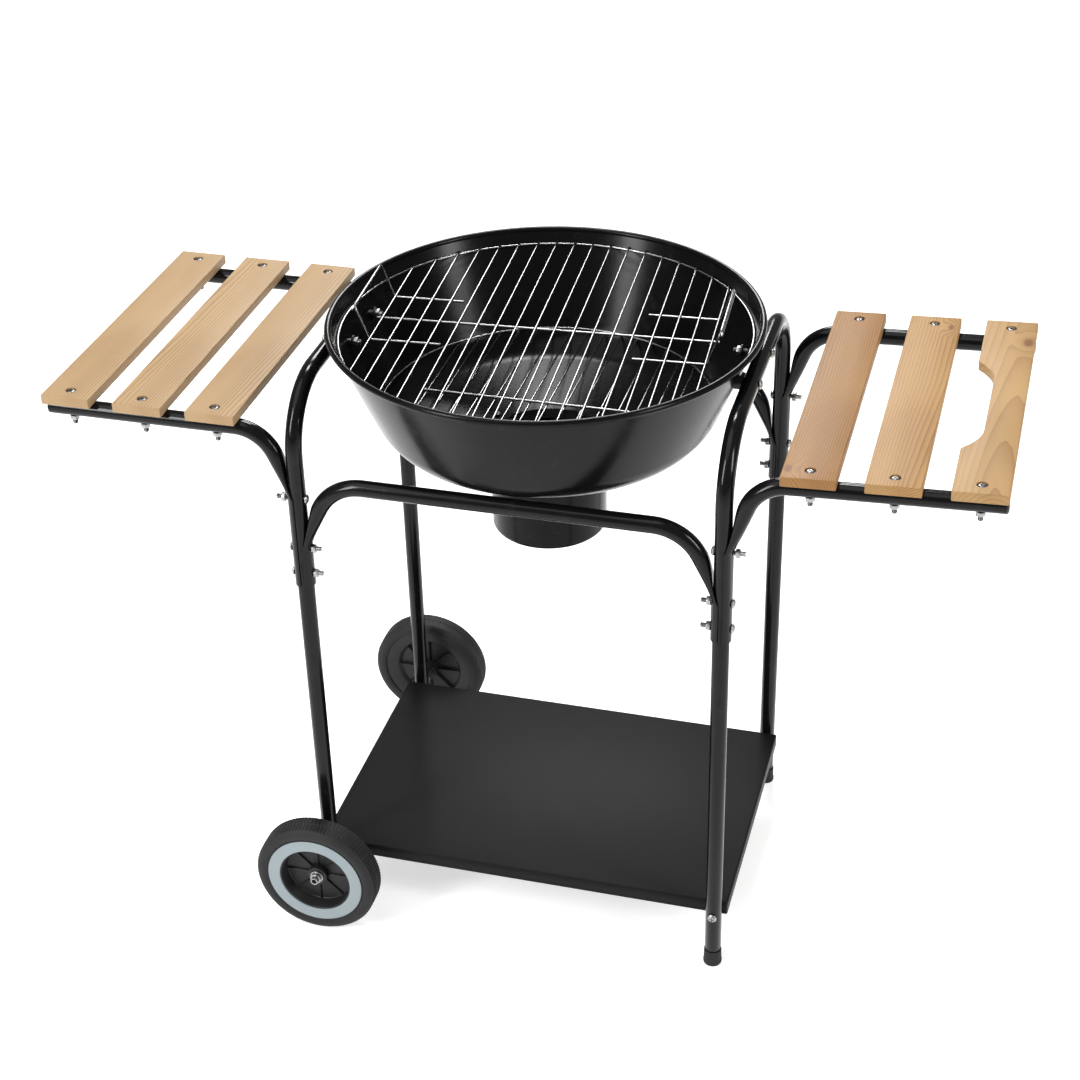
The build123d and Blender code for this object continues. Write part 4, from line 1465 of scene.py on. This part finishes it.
@dataclass
class Grates:
    """The two wire grates: rings, bars, stays, lifting handles and their weld beads."""

    thin: float = 1.2 * MM
    thick: float = 1.5 * MM
    weld: float = 0.3 * MM
    cooking_bars: int = 18
    cooking_pitch: float = 23 * MM
    cooking_turn: float = 3.5
    charcoal_bars: int = 15
    charcoal_pitch: float = 21.5 * MM
    handle_y: float = 57 * MM
    handle_inner: float = 112 * MM
    handle_foot: float = 197 * MM
    handle_top: float = 212 * MM
    handle_rise: float = 42 * MM
    handle_bend: float = 6 * MM
    grip_out: float = 1.4 * MM
    grip_drop: float = 2.6 * MM
    grip_rear: float = 54 * MM
    grip_front: float = 62 * MM
    grip_welds: Point = (0.12, 0.88)

    def bars(self, form: Form, count: int, pitch: float, reach: float, ring: float, height: float) -> None:
        """Add parallel bars and the beads where they cross the ring and the stay.

        Args:
            form: gets the bars.
            count: how many there are.
            pitch: from one bar to the next.
            reach: radius of the circle that the bars' tips touch.
            ring: the ring's radius.
            height: of the bars above the ring's level, negative where they lie below it.
        """
        for index in range(count):
            x = (index - (count - 1) / 2) * pitch
            half = math.sqrt(reach**2 - x**2)
            start, end = Vector((x, -half, height)), Vector((x, half, height))
            form.rod(start, end, self.thin, 12)
            crossing = math.sqrt(ring**2 - x**2)
            for y in (-crossing, 0.0, crossing):
                form.nugget(Vector((x, y, height / 2)), 1.25 * self.thin)

    def ring(self, form: Form, radius: float) -> None:
        """Add the round wire of a grate."""
        form.join(Form().lathe(loop(radius, 0.0, self.thick, 12), 160))

    def stay(self, form: Form, half: float) -> None:
        """Add the wire that ties the bars across the middle."""
        form.rod(Vector((-half, 0, 0)), Vector((half, 0, 0)), self.thick, 12)

    def handle(self, form: Form, side: Side) -> None:
        """Add one lifting handle: a bent wire whose legs run under the bars."""
        out = ALONG_X * side.value
        lean = Vector((side.value * (self.handle_top - self.handle_foot), 0.0, self.handle_rise))
        start = Vector((side.value * self.handle_inner, self.handle_y, 0.0))
        turn = math.degrees(math.acos(lean.normalized().dot(out)))
        short = self.handle_bend * math.tan(math.radians(turn) / 2)
        pen = TubePen(form, start, out, self.thick, 12)
        pen.run(self.handle_foot - self.handle_inner - short).bend(self.handle_bend, turn, UP, 6)
        pen.run(lean.length - short - self.handle_bend).bend(self.handle_bend, 90, -ALONG_Y, 6)
        pen.run(2 * self.handle_y - 2 * self.handle_bend).bend(self.handle_bend, 90, -lean, 6)
        pen.run(lean.length - short - self.handle_bend).bend(self.handle_bend, turn, -out, 6)
        pen.run(self.handle_foot - self.handle_inner - short).close()
        grip_x, grip_z = self.handle_top + self.grip_out, self.handle_rise - self.grip_drop
        top = Vector((side.value * grip_x, 0.0, grip_z))
        first, last = top + ALONG_Y * self.grip_rear, top - ALONG_Y * self.grip_front
        form.rod(first, last, self.thick, 12)
        for share in self.grip_welds:
            form.nugget(first.lerp(last, share) + UP * 1.2 * MM, 1.1 * self.thick)
        step = self.cooking_pitch
        first_bar = math.ceil(self.handle_inner / step - 0.5) + 0.5
        while first_bar * step < self.handle_foot - 4 * MM:
            for y in (self.handle_y, -self.handle_y):
                place = Vector((side.value * first_bar * step, y, self.thick - self.weld / 2))
                form.nugget(place, 1.2 * self.thin)
            first_bar += 1

    def build(self) -> None:
        """Build both grates."""
        lift = self.thin + self.thick - self.weld
        span = Span.of("cooking_grate")
        ring = span.size.x / 2 - self.thick
        form = Form()
        self.ring(form, ring)
        self.bars(form, self.cooking_bars, self.cooking_pitch, ring + 1.5 * MM, ring, lift)
        self.stay(form, (self.cooking_bars - 1) / 2 * self.cooking_pitch + 8 * MM)
        for side in Side:
            self.handle(form, side)
        turn = Matrix.Rotation(math.radians(self.cooking_turn), 4, "Z")
        form.moved(Matrix.Translation((0, 0, span.low.z + self.thick)) @ turn)
        form.deliver("cooking_grate_wire", Body.COOKING_GRATE, WIRE, ["cooking_grate"])

        span = Span.of("charcoal_grate")
        ring = span.size.x / 2 - self.thick
        form = Form()
        self.ring(form, ring)
        self.bars(form, self.charcoal_bars, self.charcoal_pitch, ring - 0.2 * MM, ring, -lift)
        self.stay(form, (self.charcoal_bars - 1) / 2 * self.charcoal_pitch + 6 * MM)
        form.moved(Matrix.Translation((0, 0, span.high.z - self.thick)))
        form.deliver("charcoal_grate_wire", Body.CHARCOAL_GRATE, WIRE, ["charcoal_grate"])


# ---------------------------------------------------------------- axle and wheels
@dataclass
class Axle:
    """The hollow axle with its spacers, washers and push-on retainers."""

    wall: float = 1.6 * MM
    clearance: float = 0.05 * MM
    washer: float = 1.5 * MM
    retainer: float = 4 * MM

    def collar(self, node: str, length: float) -> None:
        """Build a pair of rings on the axle that stand for a node."""
        span = Span.of(node)
        bore = Span.of("axle").size.x / 2 + self.clearance
        outer = span.size.x / 2
        shape = [(bore, 0.0), (outer, 0.0), (outer, length), (bore, length)]
        ring = Form().lathe(rounded(shape, 0.35 * MM, 3), 40)
        form = Form()
        for row in Row:
            seat = Vector((span.middle.x, row.value * (span.high.y - length), span.middle.z))
            form.join(ring, facing(seat, ALONG_Y * row.value))
        form.deliver(f"{node}_zinc", Body.TROLLEY, ZINC, [node])

    def build(self) -> None:
        """Build the axle and everything that sits on it."""
        span = Span.of("axle")
        radius, half = span.size.x / 2, span.size.y / 2
        shape = rounded(
            [
                (radius - self.wall, 0.0),
                (radius - self.wall, half),
                (radius, half),
                (radius, -half),
                (radius - self.wall, -half),
                (radius - self.wall, 0.0),
            ],
            0.4 * MM,
            3,
        )
        form = Form().lathe(shape[:-1], 40).moved(facing(span.middle, ALONG_Y))
        form.deliver("axle_tube", Body.TROLLEY, ZINC, ["axle"])
        spacers = Span.of("axle_spacers")
        legs = Span.of("rear_left_leg")
        self.collar("axle_spacers", spacers.high.y - legs.high.y - self.clearance)
        self.collar("axle_washers", self.washer)
        self.collar("axle_retainers", self.retainer)


@dataclass
class Wheel:
    """One wheel: a tyre with two rows of tread blocks, a ribbed hub and a pale trim ring."""

    row: Row
    body: Body
    blocks: int = 104
    groove: float = 0.9 * MM
    tread_half: float = 13 * MM
    seam_half: float = 1 * MM
    trim_depth: float = 1.6 * MM
    boss: float = 13 * MM
    web: float = -1.5 * MM
    web_sheet: float = 3 * MM
    ribs: int = 8
    rib_width: float = 1.2 * MM

    def __post_init__(self) -> None:
        """Read the wheel's place and sizes from the frame."""
        self.word = f"{self.row.name.lower()}_wheel"
        tyre, hub, trim = (Span.of(f"{self.word}_{part}") for part in ("tyre", "hub", "trim"))
        self.place = facing(tyre.middle, ALONG_Y * self.row.value)
        self.radius, self.half = tyre.size.x / 2, tyre.size.y / 2
        self.rim = hub.size.x / 2
        self.trim_outer = trim.size.x / 2
        self.hub_back = self.half + 3 * MM
        self.trim_inner = self.trim_outer - 15.4 * MM

    def tyre(self) -> None:
        """Build the tyre and raise every other tread face into a block."""
        bore, half = self.rim + 0.05 * MM, self.half
        crown = self.radius - self.groove
        shoulder = crown - 0.3 * MM
        flank = [
            (bore, half - 2 * MM),
            (bore + 1.2 * MM, half - 0.9 * MM),
            (self.radius - 9 * MM, half),
            (self.radius - 4 * MM, half - 1.1 * MM),
            (shoulder - 0.8 * MM, half - 3.6 * MM),
            (shoulder, self.tread_half),
            (crown, self.seam_half),
            (crown + 0.5 * MM, 0.6 * self.seam_half),
        ]
        outline = [*flank, *((radius, -height) for radius, height in reversed(flank))]
        form = Form().lathe(outline, 2 * self.blocks)
        blocks = []
        for face in form.bm.faces:
            middle = face.calc_center_median()
            reach = math.hypot(middle.x, middle.y)
            step = math.atan2(middle.y, middle.x) % math.tau / math.tau * 2 * self.blocks
            in_row = self.seam_half < abs(middle.z) < self.tread_half
            if in_row and reach > shoulder - 0.1 * MM and int(step) % 2 == (middle.z > 0):
                blocks.append(face)
        raised = bmesh.ops.extrude_discrete_faces(form.bm, faces=blocks)["faces"]
        for face in raised:
            middle = face.calc_center_median()
            out = Vector((middle.x, middle.y, 0.0)).normalized()
            for vert in face.verts:
                vert.co = middle + (vert.co - middle) * 0.86 + out * self.groove
        form.moved(self.place)
        form.deliver(f"{self.word}_tyre_tread", self.body, TYRE, [f"{self.word}_tyre"], 40.0)

    def hub(self) -> None:
        """Build the rim, the web, the ribs on both sides of it and the boss."""
        face = self.half - 1 * MM
        floor = face - self.trim_depth
        bore = Span.of("axle").size.x / 2 + 0.08 * MM
        wall = self.trim_inner - 2 * MM
        outline = rounded(
            [
                (self.boss - 1 * MM, self.web - self.web_sheet),
                (wall - 2 * MM, self.web - self.web_sheet),
                (self.trim_inner, 8 * MM - self.half),
                (self.rim, 3 * MM - self.half),
                (self.rim, face),
                (self.trim_outer + 0.1 * MM, face),
                (self.trim_outer + 0.1 * MM, floor),
                (wall, floor),
                (wall - 2 * MM, self.web),
                (self.boss - 1 * MM, self.web),
            ],
            [1.5 * MM, 0.8 * MM, 0.6 * MM, 0.15 * MM, 0.1 * MM, 0.1 * MM, 0.8 * MM, 2.0 * MM],
            3,
        )
        form = Form().lathe(outline, 96)
        front = self.half - 10 * MM
        corners = [(bore, -self.hub_back), (self.boss, -self.hub_back), (self.boss, front), (bore, front)]
        form.join(Form().lathe(rounded(corners, 1.0 * MM, 3), 48))
        length = wall - self.boss + 1 * MM
        levels = ((self.web - 0.5 * MM, self.web + 2.4 * MM), (8 * MM - self.half, self.web - 2 * MM))
        for index in range(self.ribs):
            turn = Matrix.Rotation(math.tau * index / self.ribs, 4, "Z")
            middle = (wall + self.boss) / 2 - 0.5 * MM
            for low, high in levels:
                place = turn @ Matrix.Translation((middle, 0.0, (low + high) / 2))
                form.block((length, self.rib_width, high - low), place, 0.35 * MM)
        form.moved(self.place)
        form.deliver(f"{self.word}_hub_ribbed", self.body, WHEEL, [f"{self.word}_hub"])

    def trim(self) -> None:
        """Build the pale ring on the wheel's outer face."""
        span = Span.of(f"{self.word}_trim")
        low = -self.trim_depth / 2
        high = self.trim_depth / 2
        outline = rounded(
            [
                (self.trim_inner, low),
                (self.trim_inner, high - 0.2 * MM),
                (self.trim_inner + 3 * MM, high),
                (self.trim_outer - 3 * MM, high),
                (self.trim_outer, high - 0.2 * MM),
                (self.trim_outer, low),
            ],
            [0.3 * MM, 1.0 * MM, 1.0 * MM, 0.3 * MM],
            3,
        )
        form = Form().lathe(outline, 120).moved(facing(span.middle, ALONG_Y * self.row.value))
        form.deliver(f"{self.word}_trim_ring", self.body, TRIM, [f"{self.word}_trim"])

    def build(self) -> None:
        """Build the wheel's three pieces."""
        self.tyre()
        self.hub()
        self.trim()


# ---------------------------------------------------------------- studio
@dataclass(frozen=True)
class Softbox:
    """A rectangular soft light: where it is, the spot it points at, its size and its power."""

    name: str
    place: tuple[float, float, float]
    aim: tuple[float, float, float]
    size: Point
    watts: float

    def build(self) -> None:
        """Create the light."""
        light = bpy.data.lights.new(self.name, "AREA")
        light.shape = "RECTANGLE"
        light.size, light.size_y = self.size
        light.energy = self.watts
        lamp = bpy.data.objects.new(self.name, light)
        lamp.matrix_world = facing(self.place, Vector(self.place) - Vector(self.aim))
        bpy.context.scene.collection.objects.link(lamp)


SOFTBOXES = (
    Softbox("left_box", (-1.55, -2.1, 1.9), (0, 0, 0.6), (0.55, 1.5), 62),
    Softbox("right_box", (2.5, -0.9, 1.9), (0, 0, 0.6), (0.50, 1.3), 42),
    Softbox("back_box", (-0.55, 2.5, 2.35), (0, 0, 0.7), (1.1, 0.8), 58),
    Softbox("upper_box", (-0.30, 1.2, 3.0), (0, 0, 0.7), (0.7, 0.45), 40),
)


@dataclass
class Studio:
    """Floor, camera and soft lights."""

    eye: tuple[float, float, float] = (603.6 * MM, -2124.0 * MM, 1864.6 * MM)
    yaw: float = 16.134
    pitch: float = 31.349
    roll: float = 1.517
    lens: float = 70.44
    shift: Point = (-0.0013, -0.0305)
    floor_size: float = 40.0
    sky: float = 0.24
    overhead: float = 0.95
    overhead_angle: float = 50.0

    def camera(self) -> None:
        """Create the camera."""
        yaw, pitch, roll = (math.radians(turn) for turn in (self.yaw, self.pitch, self.roll))
        ahead = Vector((-math.sin(yaw) * math.cos(pitch), math.cos(yaw) * math.cos(pitch), -math.sin(pitch)))
        right = Vector((math.cos(yaw), math.sin(yaw), 0.0))
        down = ahead.cross(right)
        tilted_right = math.cos(roll) * right + math.sin(roll) * down
        tilted_down = math.cos(roll) * down - math.sin(roll) * right
        lens = bpy.data.cameras.new("camera")
        lens.sensor_width = 36.0
        lens.lens = self.lens
        lens.shift_x, lens.shift_y = self.shift
        lens.clip_start, lens.clip_end = 0.05, 100.0
        camera = bpy.data.objects.new("camera", lens)
        rows = Matrix((tilted_right, -tilted_down, -ahead)).transposed().to_4x4()
        camera.matrix_world = Matrix.Translation(self.eye) @ rows
        bpy.context.scene.collection.objects.link(camera)
        bpy.context.scene.camera = camera

    def floor(self) -> None:
        """Create the pale floor."""
        form = Form()
        bmesh.ops.create_grid(form.bm, x_segments=4, y_segments=4, size=self.floor_size / 2)
        sheet = form.object("studio_floor")
        sheet.data.materials.append(PaperFloor("studio_paper").material())

    def lights(self) -> None:
        """Create the sky, the overhead light and the softboxes."""
        world = bpy.data.worlds.new("studio")
        world.use_nodes = True
        sky = world.node_tree.nodes["Background"]
        sky.inputs["Color"].default_value = (1.0, 1.0, 1.0, 1.0)
        sky.inputs["Strength"].default_value = self.sky
        bpy.context.scene.world = world
        sun = bpy.data.lights.new("overhead", "SUN")
        sun.energy = self.overhead
        sun.angle = math.radians(self.overhead_angle)
        lamp = bpy.data.objects.new("overhead", sun)
        lamp.matrix_world = facing((0, 0, 5), (-0.35, -0.30, 1.0))
        bpy.context.scene.collection.objects.link(lamp)
        for box in SOFTBOXES:
            box.build()

    def build(self) -> None:
        """Set up the studio."""
        self.camera()
        self.floor()
        self.lights()
        bpy.context.scene.view_settings.view_transform = "Standard"


# ---------------------------------------------------------------- the boards' grain, and the whole grill
LEFT_GRAIN = (
    PineBoard(PINE.slot, heart=(0.050, -0.050), slant=0.012, ring=2.3 * MM),
    PineBoard(PINE.slot, heart=(-0.045, -0.060), slant=-0.015, ring=2.5 * MM),
    PineBoard(PINE.slot, heart=(0.060, -0.040), slant=0.018, ring=2.4 * MM),
)
RED_PINE = PineBoard(
    PINE.slot, pale=(0.306, 0.160, 0.053), mid=(0.238, 0.118, 0.037), late=(0.110, 0.046, 0.013)
)
WARM_PINE = PineBoard(
    PINE.slot, pale=(0.378, 0.224, 0.084), mid=(0.298, 0.160, 0.056), late=(0.150, 0.067, 0.022)
)
SOFT_PINE = PineBoard(
    PINE.slot, pale=(0.382, 0.239, 0.101), mid=(0.294, 0.170, 0.066), late=(0.232, 0.124, 0.048)
)
LOW_KNOT = Knot(-0.024, -0.185, 5 * MM)
HIGH_KNOT = Knot(0.020, 0.178, 4 * MM)
WIDE_KNOT = Knot(0.022, 0.150, 6 * MM)
RIGHT_GRAIN = (
    replace(RED_PINE, heart=(-0.055, -0.030), slant=0.012, ring=2.6 * MM, knots=(LOW_KNOT,)),
    replace(WARM_PINE, heart=(0.050, -0.045), slant=0.015, ring=2.9 * MM, knots=(HIGH_KNOT,)),
    replace(SOFT_PINE, heart=(0.020, -0.030), slant=0.05, ring=5.4 * MM, knots=(WIDE_KNOT,)),
)
KEPT_NODES = {"bowl_spacers": PLUG, "can_clips": ZINC, "clip_rivets": ZINC}


def dress_kept_nodes(frame: dict) -> None:
    """Lay finishes on the nodes of the frame that show as they are."""
    for node, finish in KEPT_NODES.items():
        shown = frame["nodes"][node]
        for slot in shown.material_slots:
            slot.material = RACK.material(finish)
        LOG.info("%s: kept from the frame", node)


def main() -> None:
    """Build the finished look around the frame."""
    logging.basicConfig(level=logging.INFO, format="%(message)s")
    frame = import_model()
    Studio().build()
    legs = Legs()
    legs.build()
    CrossTubes(legs).build()
    shelves = [Shelf(Side.LEFT, legs), Shelf(Side.RIGHT, legs)]
    for shelf, grain in zip(shelves, (LEFT_GRAIN, RIGHT_GRAIN)):
        shelf.build(grain)
    build_arm_plugs(shelves)
    Tray().build()
    bowl = Bowl()
    bowl.build()
    Grates().build()
    Axle().build()
    Wheel(Row.FRONT, Body.FRONT_WHEEL).build()
    Wheel(Row.REAR, Body.REAR_WHEEL).build()
    Fasteners().build(legs, shelves, bowl)
    dress_kept_nodes(frame)


if __name__ == "__main__":
    main()
